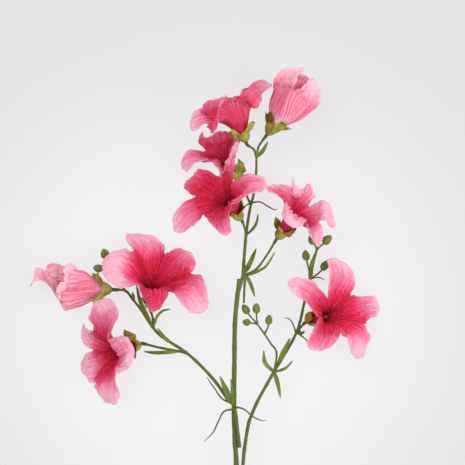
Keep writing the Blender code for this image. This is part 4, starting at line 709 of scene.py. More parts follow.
def notched(sheets, side, tube_part, raw, notches):
    """The five lobes' points, their notches and the mouth between drawn to picture squares.

    A notch lies at the far edge of its lobe. Its reach is a Gaussian of the angle round the mouth,
    growing up the tube and fading over the blades.
    """
    lobes = np.array([notch[0] - 1 for notch in notches])
    round_by = np.arange(5.0)[:, None, None] + side / 2.0
    away = (round_by[..., None] - (lobes + 0.5) + 2.5) % 5.0 - 2.5
    between = (lobes[:, None] - lobes[None] + 2.5) % 5.0 - 2.5
    held = sheets[lobes, TUBE_ROWS - 1, -1]
    wanted = squares_at([notch[1:] for notch in notches], held)
    weights = np.linalg.solve(np.exp(-(between / NOTCH_REACH) ** 2), wanted - held)
    share = smooth((tube_part - NOTCH_FROM) / NOTCH_OVER) * (1.0 - smooth(raw / NOTCH_FADE))
    return sheets + (np.exp(-(away / NOTCH_REACH) ** 2) * share[..., None]) @ weights


def grown_together(values, across, fade):
    """Values of the five lobes, eased by the square of across so that their seams agree."""
    step = (np.roll(values[:, :, 0], -1, axis=0) - values[:, :, -1]) / 2.0
    step[:, TUBE_ROWS:] = step[:, TUBE_ROWS - 1:TUBE_ROWS]
    toward_last, toward_first = ((np.clip(way, 0.0, 1.0) ** 2)[:, None] * fade[:, None, None]
                                 for way in (across, -across))
    at_last = step[:, :, None] * toward_last
    at_first = np.roll(step, 1, axis=0)[:, :, None] * toward_first
    return values + at_last - at_first


def seamed(values, settled):
    """Values of the five lobes, the same on both sides of each tube seam: their sum, settled."""
    seam = settled(values[:, :TUBE_ROWS, -1] + np.roll(values[:, :TUBE_ROWS, 0], -1, axis=0))
    values[:, :TUBE_ROWS, -1] = seam
    values[:, :TUBE_ROWS, 0] = np.roll(seam, 1, axis=0)
    return values


def lobe_sheet(bloom, number, side, tube_part, raw):
    """One lobe's points over its slightly ragged blade, with across, along, relief and shade."""
    lobe = bloom.lobes[number]
    ragged = 1.0 + RAGGED_DEPTH * np.sin(7.0 * side + 2.3 * lobe.phase) * raw ** 4
    free = raw * (1.0 - CORNER_LOSS * np.abs(side) ** CORNER_POWER * raw ** 2) * ragged
    reached = tube_part * bloom.tube.joined + free * lobe.length
    centre = bloom.roll + LOBE_STEP * number + lobe.turn
    points = placed(bloom, lobe_surface(bloom.tube, lobe, centre, side, reached, free))
    relief = lobe_relief(lobe, side, reached, free, bloom.tube.joined)
    shade = bloom.shade + lobe.shade * smooth((tube_part + raw - SHADE_FROM) / SHADE_OVER)
    return points, side + 2.0 * number, reached / (bloom.tube.joined + lobe.length), relief, shade


def corolla_sheet(bloom, seed):
    """The middle sheet of the five lobes and its inward normals, with across, along, rim and shade.

    The lobes are joined, drawn to their picture squares and then moved along their normals by the
    relief, which crinkles of three sizes are added to.
    """
    across = np.linspace(-1.0, 1.0, ACROSS_COLUMNS)
    tube_share = np.concatenate((np.linspace(0.0, 1.0, TUBE_ROWS), np.ones(BLADE_ROWS)))
    blade_share = np.concatenate((np.zeros(TUBE_ROWS), np.arange(1, BLADE_ROWS + 1) / BLADE_ROWS))
    side, tube_part = np.meshgrid(across, tube_share)
    raw = np.broadcast_to(blade_share[:, None], side.shape)
    fade = 1.0 - smooth(blade_share / SEAM_FADE)
    lobes = [lobe_sheet(bloom, number, side, tube_part, raw) for number in range(LOBES)]
    sheets, across_share, along, relief, shade = (np.array(part) for part in zip(*lobes))
    sheets = notched(grown_together(sheets, across, fade), side, tube_part, raw, bloom.notches)
    sheets = np.array([pulled(sheet, side, raw, lobe) for sheet, lobe in zip(sheets, bloom.lobes)])
    shade = grown_together(shade[..., None], across, fade)[..., 0]
    normals = seamed(sheet_normals(sheets), unit)
    soft = TUBE_CRINKLE + (1.0 - TUBE_CRINKLE) * smooth(along * CRINKLE_RISE - 1.0)
    for size, depth in CRINKLES:
        relief = relief + depth * soft * crumple(sheets, size, seed + size)
    sheets = sheets + normals * seamed(relief, lambda both: both / 2.0)[..., None]
    to_side = np.where(raw > 0.0, 1.0 - np.abs(side), 1.0)
    to_end = np.where(raw > 0.0, 1.0 - raw, 1.0 / END_RIM)
    rim = np.minimum(to_side * SIDE_RIM, to_end * END_RIM)
    rim = np.broadcast_to(rim, along.shape)
    return sheets, sheet_normals(sheets), across_share, along, rim, shade


def laid_down(points, free):
    """Points of a corolla, its free lobes near the table eased flat as in the part's source."""
    over = points[..., 2] - PETAL_THICKNESS / 2.0
    eased = np.where(over < 3.0 * PRESSED_DEPTH, 1.5 * np.maximum(over - PRESSED_DEPTH, 0.0), over)
    height = np.where(free, eased, over) + PETAL_THICKNESS / 2.0
    return np.concatenate((points[..., :2], height[..., None]), -1)


def grid_faces(numbers):
    """Four-cornered faces between neighbours of grids of vertex numbers, as rows of four."""
    near, far = numbers[..., :-1, :], numbers[..., 1:, :]
    corners = (near[..., :-1], near[..., 1:], far[..., 1:], far[..., :-1])
    return np.stack(corners, -1).reshape(-1, 4)


def two_sided(shape, joined):
    """The faces of a closed body of five parts in an inner and an outer layer of the given shape.

    Neighbours share their vertices along the joined rows, and both layers share theirs at the free
    sides and tips. A fan to a pole closes the foot of each layer.
    """
    numbers = np.arange(2 * np.prod(shape)).reshape(2, *shape)
    numbers[:, :, :joined, -1] = np.roll(numbers[:, :, :joined, 0], -1, axis=1)
    numbers[1, :, joined - 1:, 0] = numbers[0, :, joined - 1:, 0]
    numbers[1, :, joined - 1:, -1] = numbers[0, :, joined - 1:, -1]
    numbers[1, :, -1] = numbers[0, :, -1]
    faces = [grid_faces(numbers[0]), grid_faces(numbers[1])[:, ::-1]]
    for layer in (0, 1):
        low = numbers[layer, :, 0]
        pole = np.full(low[:, 1:].size, numbers.size + layer)
        faces.append(np.stack((low[:, :-1].ravel(), low[:, 1:].ravel(), pole, pole), -1))
    return np.concatenate(faces)


def on_both(values, at_poles):
    """Values of one layer for the inner layer, the outer layer and the two poles."""
    return np.concatenate((values.ravel(), values.ravel(), (at_poles, at_poles)))


def mesh_piece(name, points, faces, attributes, finish):
    """A smooth-shaded mesh from points in millimetres: no loose vertices, and faces outward."""
    mesh = bpy.data.meshes.new(name)
    rows = [tuple(dict.fromkeys(row)) for row in np.asarray(faces).tolist()]
    mesh.from_pydata((np.asarray(points) * MM).tolist(), [], [row for row in rows if len(row) > 2])
    for title, values in attributes.items():
        kind, field = ("FLOAT_VECTOR", "vector") if np.ndim(values) == 2 else ("FLOAT", "value")
        layer = mesh.attributes.new(title, kind, "POINT")
        layer.data.foreach_set(field, np.ravel(values).astype(np.float32))
    mesh.materials.append(finish)
    shape = bmesh.new()
    shape.from_mesh(mesh)
    loose = [vertex for vertex in shape.verts if not vertex.link_faces]
    bmesh.ops.delete(shape, geom=loose, context="VERTS")
    bmesh.ops.recalc_face_normals(shape, faces=shape.faces)
    shape.to_mesh(mesh)
    shape.free()
    mesh.shade_smooth()
    made = bpy.data.objects.new(name, mesh)
    bpy.context.scene.collection.objects.link(made)
    return made


def petals(name, bloom, seed, finish):
    """The five joined petals as one closed body: the sheet moved half its thickness to each side.

    The thickness falls by a square root to nothing at the free rim, where both sides share their
    points, and the tube's base is closed by a fan on each side.
    """
    sheet, normals, across, along, rim, shade = corolla_sheet(bloom, seed)
    is_free = np.arange(TUBE_ROWS + BLADE_ROWS) >= TUBE_ROWS
    flat = laid_down(sheet, is_free[None, :, None])
    half = SHOWN_THICKNESS / 2.0 * np.sqrt(np.clip(rim / THINNED_RIM, 0.0, 1.0))[..., None]
    inner, outer = flat + normals * half, flat - normals * half
    inner[..., 2] = np.maximum(inner[..., 2], LOWEST_INSIDE)
    outer[..., 2] = np.maximum(outer[..., 2], 0.0)
    layers = np.array((inner, outer)).reshape(-1, 3)
    points = np.concatenate((layers, placed(bloom, TUBE_FLOORS)))
    shared = np.where(rim.ravel() < 0.001, 0.5, 0.0)
    layer = np.concatenate((shared, np.ones(rim.size), (0.0, 1.0)))
    grain = np.stack((on_both(across, 0.0), on_both(along, 0.0), layer), -1)
    attributes = {"petal": grain, "rim": on_both(rim, 1.0), "shade": on_both(shade, 0.0)}
    return mesh_piece(name, points, two_sided(across.shape, TUBE_ROWS), attributes, finish)


def one_sepal(bloom, number, side, cup, free, seed):
    """One fifth of a calyx: its part of the cup and the pointed folded sepal above it.

    Round the cup the radius follows the tube at a small clearance. The sepal narrows to its tip by
    powers, leans out by its flare, folds along its middle and waves at its edges.
    """
    spread = float(np.mean([lobe.spread for lobe in bloom.lobes]))
    length = bloom.sepal_length * SEPAL_LENGTHS[number]
    height = SOCKET_DEPTH + (CUP_DEPTH - SOCKET_DEPTH) * cup + free * (length - CUP_DEPTH)
    reached = np.linspace(0.0, bloom.tube.joined, TUBE_STEPS)
    radius, high, slope = meridian(bloom.tube, Lobe(spread=spread), reached)
    lean = 1.0 / np.cos(np.interp(height, high, slope))
    clear = np.interp(height, high, radius) + CALYX_CLEARANCE * lean
    rise = np.sin(np.clip(cup / CUP_ROUNDED, 0.0, 1.0) * np.pi / 2.0) ** CUP_POWER
    closed = CUP_FOOT_RADIUS + (clear - CUP_FOOT_RADIUS) * rise
    flare = np.tan(np.radians(bloom.sepal_flare)) * free ** FLARE_POWER * (length - CUP_DEPTH)
    folded = np.abs(side) ** FOLD_POWER * smooth(free / FOLD_START) * (1.0 - FOLD_LOSS * free)
    ripple = RIPPLE_DEPTH * side ** 2 * smooth(free / RIPPLE_START)
    ripple = ripple * np.sin(RIPPLE_WAVES * free + 2.1 * number + seed + 1.2 * np.sign(side))
    ribbed = CUP_RIB_DEPTH * np.cos(CUP_RIBS * np.pi * side) * smooth(cup * 1.6 - 0.6)
    out = closed + flare - folded + ripple + ribbed
    blunt = SEPAL_HALF_WIDTH * (1.0 - SEPAL_TAPER * free)
    blunt = blunt * (1.0 - free ** POINT_POWER) ** BLUNT_POWER
    parted = smooth(free / SEPALS_PARTED)
    apart = np.degrees(blunt / np.maximum(out, LEAST_RADIUS))
    half = LOBE_STEP / 2.0 * (1.0 - parted) + parted * apart
    turn = np.radians(bloom.sepal_roll + LOBE_STEP * number + side * half)
    places = (out * np.cos(turn), out * np.sin(turn), height + 0.5 * ripple)
    return placed(bloom, np.stack(places, -1))


def sepal_sheet(bloom, seed):
    """The middle sheet of a calyx with its across, row and free shares.

    Its named sepals are drawn to their picture squares, neighbours meet along the cup, and a fine
    crumple moves all but the cup's foot along the normals.
    """
    side, row = np.meshgrid(np.linspace(-1.0, 1.0, SEPAL_COLUMNS), np.arange(CUP_ROWS + SEPAL_ROWS))
    cup = np.clip(row / (CUP_ROWS - 1), 0.0, 1.0)
    free = np.clip((row - CUP_ROWS + 1) / SEPAL_ROWS, 0.0, 1.0)
    sheet = np.array([one_sepal(bloom, number, side, cup, free, seed) for number in range(LOBES)])
    for number, _, *squares in bloom.sepals:
        spots = np.array(SEPAL_PLACES[:len(squares)])
        own = sheet[number - 1]
        held = own[grid_places(spots, SEPAL_COLUMNS, CUP_ROWS, SEPAL_ROWS)]
        sheet[number - 1] = drawn(own, side, free, spots, held, squares_at(squares, held))
    sheet[:, :CUP_ROWS, -1] = np.roll(sheet[:, :CUP_ROWS, 0], -1, axis=0)
    crumpled = CRUMPLE_DEPTH * crumple(sheet, CRUMPLE_SIZE, seed + 9)[..., None]
    sheet = sheet + crumpled * (sheet_normals(sheet) * (cup > 0.4)[..., None])
    sheet[:, :CUP_ROWS, -1] = np.roll(sheet[:, :CUP_ROWS, 0], -1, axis=0)
    return sheet, side, row, free


def sepals(name, bloom, seed, finish):
    """The calyx as one closed thin body: its sheet moved half its thickness to each side."""
    sheet, side, row, free = sepal_sheet(bloom, seed)
    normals = sheet_normals(sheet)
    rim = np.where(free > 0.0, np.minimum(1.0 - np.abs(side), (1.0 - free) * 1.5), 1.0)
    half = SEPAL_THICKNESS / 2.0 * np.sqrt(np.clip(rim / THINNED_SEPAL_RIM, 0.0, 1.0))
    half = np.where((row == CUP_ROWS - 1) & (np.abs(side) > 0.999), 0.0, half)[..., None]
    sides = np.array((sheet + normals * half, sheet - normals * half))
    points = np.concatenate((sides.reshape(-1, 3), placed(bloom, CUP_FLOORS)))
    across = side + 2.0 * np.arange(5.0)[:, None, None]
    along = np.broadcast_to(row / (CUP_ROWS + SEPAL_ROWS - 1), across.shape)
    layer = np.concatenate((np.zeros(across.size), np.ones(across.size), (0.0, 1.0)))
    browned = np.zeros(across.shape)
    for number, brown, *_ in bloom.sepals:
        browned[number - 1] = brown * smooth(free / BROWN_START)
    grain = np.stack((on_both(across, 0.0), on_both(along, 0.0), layer), -1)
    attributes = {"petal": grain, "shade": on_both(browned, 0.0)}
    return mesh_piece(name, points, two_sided(across.shape, CUP_ROWS), attributes, finish)


def curve_through(path, steps):
    """A smooth line through the places: cubic pieces whose slopes follow their neighbours."""
    places = np.array(path, float)
    ends = np.vstack((2.0 * places[0] - places[1], places, 2.0 * places[-1] - places[-2]))
    share = (np.arange(1, steps + 1) / steps)[None, :, None]
    before, start, stop, after = (ends[first:len(ends) - 3 + first, None] for first in range(4))
    line = 0.5 * (2.0 * start + (stop - before) * share
                  + (2.0 * before - 5.0 * start + 4.0 * stop - after) * share ** 2
                  + (3.0 * start - before - 3.0 * stop + after) * share ** 3)
    return np.vstack((places[:1], line.reshape(-1, 3)))


def travelled(line):
    """How far along a line each of its points lies."""
    return np.concatenate(([0.0], np.cumsum(np.linalg.norm(np.diff(line, axis=0), axis=1))))


def swept(line, widths, heights, angles, fold=0.0, groove=0.0):
    """A closed body carried along a line: an oval section of the given half-widths and heights.

    A fold lifts it by its distance from the middle, and a groove shrinks it by a cosine round it.
    Each point also gets its turn, its share of the line and how much of the line is left.
    """
    ahead = unit(np.gradient(line, axis=0))
    across = unit(np.cross(ahead, (0.0, 0.0, 1.0)))
    above = np.cross(across, ahead)
    round_by = np.linspace(0.0, 2.0 * np.pi, angles, endpoint=False)
    shrink = 1.0 - groove * (0.5 + 0.5 * np.cos(RIBS * round_by)) ** 3
    aside = widths[:, None] * (np.cos(round_by) * shrink)[None]
    lift = heights[:, None] * (np.sin(round_by) * shrink)[None] + fold * np.abs(aside)
    rings = line[:, None] + across[:, None] * aside[..., None] + above[:, None] * lift[..., None]
    points = np.concatenate((rings.reshape(-1, 3), line[:1], line[-1:]))
    numbers = np.arange(rings[..., 0].size).reshape(rings.shape[:-1])
    ring = np.concatenate((numbers, numbers[:, :1]), 1)
    first, last = np.full(angles, numbers.size), np.full(angles, numbers.size + 1)
    foot = np.stack((ring[0, 1:], ring[0, :-1], first, first), -1)
    head = np.stack((ring[-1, :-1], ring[-1, 1:], last, last), -1)
    faces = np.concatenate((grid_faces(ring), foot, head))
    passed = travelled(line)[:, None]
    whole = passed[-1, 0]
    shares = (round_by / (2.0 * np.pi), passed / whole, whole - passed)
    grain = np.stack([np.broadcast_to(share, numbers.shape).ravel() for share in shares], -1)
    return points, faces, np.concatenate((grain, ((0.5, 0.0, whole), (0.5, 1.0, 0.0))))


def spot_rows(places):
    """The places in millimetres of picture squares with their heights, as rows."""
    return np.array([spot(*place) for place in places])


def gathered(bodies):
    """The points and faces of several closed bodies as those of one."""
    counts = np.cumsum([0] + [len(body[0]) for body in bodies])
    faces = [body[1] + count for body, count in zip(bodies, counts)]
    return np.concatenate([body[0] for body in bodies]), np.concatenate(faces)


def stalk_body(piece, seed):
    """A stalk, slightly uneven, with a swollen foot and a thicker collar under a calyx.

    A main stalk has no swollen foot, and a tendril's end thins by a square root.
    """
    carries = isinstance(piece.path[-1], str)
    if carries:
        path = [*spot_rows(piece.path[:-1]), *placed(BLOOMS[piece.path[-1]], STALK_ENDING)]
    else:
        path = spot_rows(piece.path)
    line = curve_through(path, STALK_STEPS)
    passed = travelled(line)
    share = passed / passed[-1]
    radii = piece.start + (piece.end - piece.start) * share
    waves = (depth * np.sin(passed / size + shift * seed) for depth, size, shift in UNEVEN)
    radii = radii * sum(waves, 1.0)
    if piece.start < MAIN_STALK_START:
        radii = radii * (1.0 + FOOT_SWELL * np.exp(-(passed / FOOT_LENGTH) ** 2))
    if carries:
        radii = radii + COLLAR_SWELL * smooth((passed - passed[-1] + COLLAR_LENGTH) / COLLAR_RISE)
    elif piece.start < TENDRIL_START and piece.end < TENDRIL_END:
        radii = radii * np.sqrt(np.clip((TENDRIL_SPAN - share) / TENDRIL_TAPER, 0.0, 1.0))
    return swept(line, radii, radii, STALK_ANGLES, groove=STALK_GROOVE)


def leaf_body(piece, seed):
    """A thin waved blade, widest before its middle, its edges raised from a folded midrib."""
    line = curve_through(spot_rows(piece.path), LEAF_STEPS)
    share = np.linspace(0.0, 1.0, len(line))
    outline = np.sin(np.pi * (LEAF_FOOT + (1.0 - LEAF_FOOT) * share) ** 0.9) ** 0.8
    widths = LEAF_EDGE + (piece.width / 2.0 - LEAF_EDGE) * outline
    widths = widths * (1.0 + LEAF_UNEVEN * np.sin(11.0 * share + seed))
    widths[-1] = LEAF_POINT
    heights = LEAF_TIP_HEIGHT + LEAF_SWELL * (1.0 - share)
    wave = LEAF_WAVE * np.sin(7.0 * share + seed) * share
    line = line + np.array((0.0, 0.0, 1.0)) * wave[:, None]
    return swept(line, widths, heights, LEAF_ANGLES, fold=piece.fold * LEAF_FOLD)


def bud_body(piece):
    """A closed bud: an egg-shaped profile on a straight line with five grooves and a blunt tip."""
    share = np.linspace(0.0, 1.0, BUD_STEPS)
    foot, tip = spot_rows((piece.foot, piece.tip))
    line = foot + (tip - foot) * share[:, None]
    egg = BUD_FOOT + (1.0 - BUD_FOOT) * np.sin(np.pi * share ** 0.85) ** 0.7
    profile = BUD_SWELL * piece.radius * egg * (1.0 - BUD_TAPER * share ** 3)
    profile = profile * np.sqrt(np.clip((1.0 - share) / BUD_TIP, 0.02, 1.0))
    return swept(line, profile, profile, BUD_ANGLES, groove=BUD_GROOVE)


def stem_piece(name, pieces, finish):
    """One leafy stem: its stalks, leaves and buds as closed bodies rooted in one another."""
    bodies, grain, collars = [], [], []
    for number, piece in enumerate(pieces):
        kind = (Stalk, Leaf, Bud).index(type(piece))
        body = bud_body(piece) if kind == 2 else (stalk_body, leaf_body)[kind](piece, float(number))
        bodies.append(body)
        grain.append(np.column_stack((body[2][:, :2], np.full(len(body[0]), float(kind)))))
        under_calyx = kind == 0 and isinstance(piece.path[-1], str)
        collars.append((1.0 - smooth((body[2][:, 2] - COLLAR_DEPTH) / COLLAR_FADE)) * under_calyx)
    attributes = {"grain": np.concatenate(grain), "shade": np.concatenate(collars)}
    return mesh_piece(name, *gathered(bodies), attributes, finish)


def pistil_piece(name, bloom, finish):
    """The style with its knob and two anthers on thin stalks, each carried along a line."""
    distance = HALF_SHUT_DISTANCE if bloom.tube == HALF_SHUT else ANTHER_DISTANCE
    runs = [(STYLE_LINE, STYLE_RADII)]
    for turn, height in ANTHERS:
        away = np.array((np.cos(np.radians(turn)), np.sin(np.radians(turn)), 0.0))
        places = (*ANTHER_FEET, (distance, height - ANTHER_NECK), (distance, height),
                  (distance + ANTHER_LEAN, height + ANTHER_TIP))
        path = [away * out + np.array((0.0, 0.0, high)) for out, high in places]
        runs.append((path, ANTHER_RADII))
    bodies = []
    for path, sizes in runs:
        line = placed(bloom, curve_through(path, PISTIL_STEPS))
        share = np.linspace(0.0, len(sizes) - 1.0, len(line))
        radii = np.interp(share, np.arange(len(sizes)), sizes)
        bodies.append(swept(line, radii, radii, PISTIL_ANGLES))
    grain = np.concatenate([body[2] for body in bodies])
    grain[:, 2] = 0.0
    return mesh_piece(name, *gathered(bodies), {"grain": grain}, finish)


def tone(red, green, blue):
    """A colour as light, from how it is written on a screen in steps of 0 to 255."""
    shown = np.array((red, green, blue)) / 255.0
    light = np.where(shown <= 0.04045, shown / 12.92, ((shown + 0.055) / 1.055) ** 2.4)
    return (*light.tolist(), 1.0)


class Finish:
    """A node material being put together: each call adds nodes and gives their output."""

    def __init__(self, name):
        self.material = bpy.data.materials.new(name)
        self.material.use_nodes = True
        self.tree = self.material.node_tree
        self.shader = self.tree.nodes["Principled BSDF"]

    def feed(self, socket, value):
        """Links an output to a socket, or sets the socket to a number or colour."""
        if isinstance(value, bpy.types.NodeSocket):
            self.tree.links.new(value, socket)
        else:
            socket.default_value = value

    def surface(self, **values):
        """Sets or links the shader's own sockets."""
        for title, value in values.items():
            shown = title.replace("_", " ").title().replace("Ior", "IOR")
            self.feed(self.shader.inputs[shown], value)

    def parts(self, vector):
        """The three numbers of a vector."""
        node = self.tree.nodes.new("ShaderNodeSeparateXYZ")
        self.tree.links.new(vector, node.inputs[0])
        return node.outputs

    def attribute(self, title):
        """The three parts of an attribute that the mesh holds."""
        node = self.tree.nodes.new("ShaderNodeAttribute")
        node.attribute_name = title
        return self.parts(node.outputs["Vector"])

    def figure(self, operation, first, second=0.0, third=0.0):
        """One arithmetic step on numbers."""
        node = self.tree.nodes.new("ShaderNodeMath")
        node.operation = operation
        for socket, value in zip(node.inputs, (first, second, third)):
            self.feed(socket, value)
        return node.outputs[0]

    def times(self, first, second):
        """The product of two numbers."""
        return self.figure("MULTIPLY", first, second)

    def centred(self, value):
        """A number less one half."""
        return self.figure("SUBTRACT", value, 0.5)

    def stirred(self, value, noise, amount):
        """A number plus a noise's distance from one half, times an amount."""
        return self.figure("MULTIPLY_ADD", self.centred(noise), amount, value)

    def waves(self, value, factor, shift=0.0):
        """How far the sine of a scaled and shifted number lies from nothing."""
        turned = self.figure("MULTIPLY_ADD", value, factor, shift)
        return self.figure("ABSOLUTE", self.figure("SINE", turned))

    def lines(self, value, factor, shift=0.0):
        """One less such waves: 1 on even lines, where the sine is nothing."""
        return self.figure("SUBTRACT", 1.0, self.waves(value, factor, shift))

    def held(self, value, low, high, start=0.0, stop=1.0):
        """A number carried smoothly from one range to another and held inside it."""
        node = self.tree.nodes.new("ShaderNodeMapRange")
        node.interpolation_type = "SMOOTHSTEP"
        for socket, given in zip(node.inputs, (value, low, high, start, stop)):
            self.feed(socket, given)
        return node.outputs[0]

    def scaled(self, x, by_x, y, by_y):
        """Two numbers, each times its own factor, as one vector."""
        node = self.tree.nodes.new("ShaderNodeCombineXYZ")
        for socket, value in zip(node.inputs, (self.times(x, by_x), self.times(y, by_y))):
            self.feed(socket, value)
        return node.outputs[0]

    def own_place(self):
        """The Object coordinates."""
        return self.tree.nodes.new("ShaderNodeTexCoord").outputs["Object"]

    def noise(self, vector, scale, detail=3.0, roughness=0.55):
        """Soft noise between 0 and 1."""
        node = self.tree.nodes.new("ShaderNodeTexNoise")
        self.feed(node.inputs["Vector"], vector)
        for title, value in (("Scale", scale), ("Detail", detail), ("Roughness", roughness)):
            self.feed(node.inputs[title], value)
        return node.outputs["Fac"]

    def ramp(self, factor, stops):
        """Colours along a factor, with soft changes between the stops."""
        node = self.tree.nodes.new("ShaderNodeValToRGB")
        node.color_ramp.interpolation = "EASE"
        self.feed(node.inputs[0], factor)
        while len(node.color_ramp.elements) < len(stops):
            node.color_ramp.elements.new(0.5)
        for element, (where, colour) in zip(node.color_ramp.elements, stops):
            element.position = where
            element.color = tone(*colour)
        return node.outputs[0]

    def mixed(self, factor, first, second):
        """Two colours mixed by a factor."""
        node = self.tree.nodes.new("ShaderNodeMix")
        node.data_type = "RGBA"
        for place, value in ((0, factor), (6, first), (7, second)):
            self.feed(node.inputs[place], value)
        return node.outputs[2]

    def bumped(self, height, distance, strength):
        """The normal that a height gives."""
        node = self.tree.nodes.new("ShaderNodeBump")
        for title, value in (("Height", height), ("Distance", distance), ("Strength", strength)):
            self.feed(node.inputs[title], value)
        return node.outputs[0]


class PetalTones(NamedTuple):
    """How one kind of petal looks. The colours run from the tube's base to the lobes' ends.

    Front is the face that the bloom shows, back its outside. Veins and powdery specks have one
    colour each. Fans is how strong the whitish and dark streaks up the tube are.
    """
    front: tuple
    back: tuple
    vein: tuple
    powder: tuple
    vein_strength: float
    glow: float
    fans: float
    relief: float


# Colours are written as on a screen, from 0 to 255, each after its place on its ramp.
ROSE = PetalTones(
    ((0.0, (132, 2, 24)), (0.3, (182, 2, 36)), (0.42, (208, 10, 54)), (0.56, (222, 38, 84)),
     (0.72, (227, 88, 126)), (0.88, (230, 130, 160)), (1.0, (235, 172, 191))),
    ((0.0, (212, 16, 58)), (0.25, (232, 38, 84)), (0.45, (234, 78, 118)), (0.7, (240, 128, 158)),
     (1.0, (244, 172, 192))),
    tone(148, 0, 32), tone(250, 150, 176), 0.66, 0.15, 0.0, 0.9)
PALE = PetalTones(
    ((0.0, (206, 44, 84)), (0.5, (230, 84, 122)), (0.75, (238, 122, 152)), (1.0, (246, 176, 194))),
    ((0.0, (252, 228, 224)), (0.22, (246, 190, 198)), (0.4, (234, 126, 154)),
     (0.7, (238, 138, 164)), (1.0, (246, 188, 202))),
    tone(210, 44, 88), tone(255, 228, 232), 0.6, 0.2, 0.75, 0.5)

OLIVE = ((0.3, (124, 92, 36)), (0.41, (150, 134, 56)), (0.52, (172, 174, 74)),
         (0.75, (192, 196, 100)))
STALK_GREENS = ((0.0, (84, 98, 44)), (0.35, (86, 100, 44)), (0.6, (98, 106, 50)),
                (0.8, (102, 103, 51)), (0.98, (97, 91, 48)))
LEAF_GREENS = ((0.3, (82, 96, 36)), (0.52, (106, 122, 50)), (0.75, (136, 146, 72)))
BUD_GREENS = ((0.3, (94, 102, 44)), (0.6, (114, 128, 60)), (0.8, (136, 146, 80)))
AMBER = ((0.0, (176, 44, 66)), (0.7, (206, 104, 84)), (0.85, (190, 98, 36)), (1.0, (172, 84, 30)))


def petal_finish(name, tones):
    """A petal: colours along its length on each side, with streaks, fanned veins and sheen.

    A vein is a narrow line of a sine of across, wandering with a noise. Broad veins end late and
    fine ones early, both where a stirred share of the length says.
    """
    look = Finish(name)
    across, along, side = look.attribute("petal")
    rim = look.attribute("rim")[0]
    shaded = look.figure("ADD", along, look.attribute("shade")[0])
    own = look.own_place()
    cloud = look.noise(own, 90.0, 2.0)
    drift = look.noise(own, 110.0, 2.0)
    crinkle = look.noise(own, 520.0, 4.0, 0.6)
    fibres = look.noise(look.scaled(across, 20.0, along, 5.0), 1.0, 4.0, 0.65)
    streaks = look.noise(look.scaled(across, 8.0, along, 1.6), 1.0, 3.0, 0.6)
    broken = look.noise(look.scaled(across, 9.0, along, 1.2), 1.0, 2.0)
    fan = look.noise(look.scaled(across, 9.0, along, 0.9), 1.0, 3.0, 0.6)
    wander = look.times(look.centred(drift), look.times(along, 2.4))
    ending = look.stirred(shaded, broken, 0.6)
    broad = look.held(look.lines(across, 5.5 * np.pi, wander), 0.66, 0.98)
    broad = look.times(broad, look.held(ending, 0.95, 0.45, 0.14, 1.0))
    fine = look.held(look.lines(across, 12.0 * np.pi, wander), 0.55, 0.95)
    fine = look.times(fine, look.held(ending, 0.9, 0.4, 0.1, 0.8))
    fine = look.times(fine, look.held(fibres, 0.4, 0.56, 0.2, 1.0))
    veins = look.figure("MAXIMUM", broad, fine)
    shift = look.stirred(shaded, streaks, 0.5)
    shift = look.stirred(shift, fibres, 0.34)
    shift = look.stirred(shift, cloud, 0.16)
    shift = look.figure("ADD", shift, look.held(rim, 0.3, 0.0, 0.0, 0.1))
    colour = look.mixed(side, look.ramp(shift, tones.front), look.ramp(shift, tones.back))
    colour = look.mixed(look.times(veins, tones.vein_strength), colour, tones.vein)
    band = look.times(look.held(along, 0.1, 0.35), look.held(along, 0.95, 0.6, 0.0, tones.fans))
    colour = look.mixed(look.times(look.held(fan, 0.52, 0.66), band), colour, tones.vein)
    whitish = look.times(look.held(fan, 0.46, 0.36), look.held(along, 0.7, 0.3, 0.0, tones.fans))
    colour = look.mixed(whitish, colour, tones.powder)
    colour = look.mixed(look.held(crinkle, 0.5, 0.75, 0.0, 0.22), colour, tones.powder)
    height = look.figure("MULTIPLY_ADD", veins, -0.9, fibres)
    height = look.figure("MULTIPLY_ADD", crinkle, 0.5, height)
    look.surface(base_color=colour, roughness=0.6, normal=look.bumped(height, 0.0006, tones.relief),
                 sheen_weight=0.05, sheen_roughness=0.4, sheen_tint=tone(255, 205, 220),
                 specular_ior_level=0.15, subsurface_weight=tones.glow,
                 subsurface_radius=(1.0, 0.3, 0.36), subsurface_scale=0.0011)
    return look.material


def sepal_finish():
    """A sepal: olive with brown patches, paler ribs and a fine down."""
    look = Finish("downy_sepal")
    across, along, _ = look.attribute("petal")
    own = look.own_place()
    patches = look.noise(own, 130.0, 5.0, 0.6)
    down = look.noise(own, 700.0, 4.0, 0.65)
    rib = look.figure("POWER", look.lines(across, 2.5 * np.pi), 5.0)
    colour = look.mixed(look.times(rib, 0.35), look.ramp(patches, OLIVE), tone(176, 184, 110))
    colour = look.mixed(look.held(along, 0.3, 0.0, 0.0, 0.4), colour, tone(96, 88, 40))
    browned = look.stirred(look.attribute("shade")[0], patches, 1.2)
    colour = look.mixed(look.held(browned, 0.1, 0.9), colour, tone(154, 112, 36))
    colour = look.mixed(look.held(browned, 1.0, 1.8), colour, tone(108, 64, 30))
    colour = look.mixed(look.held(down, 0.4, 0.7, 0.0, 0.4), colour, tone(112, 104, 40))
    height = look.figure("MULTIPLY_ADD", rib, 0.6, down)
    look.surface(base_color=colour, roughness=0.68, normal=look.bumped(height, 0.0006, 0.8),
                 sheen_weight=0.08, sheen_tint=tone(215, 220, 170), specular_ior_level=0.2)
    return look.material


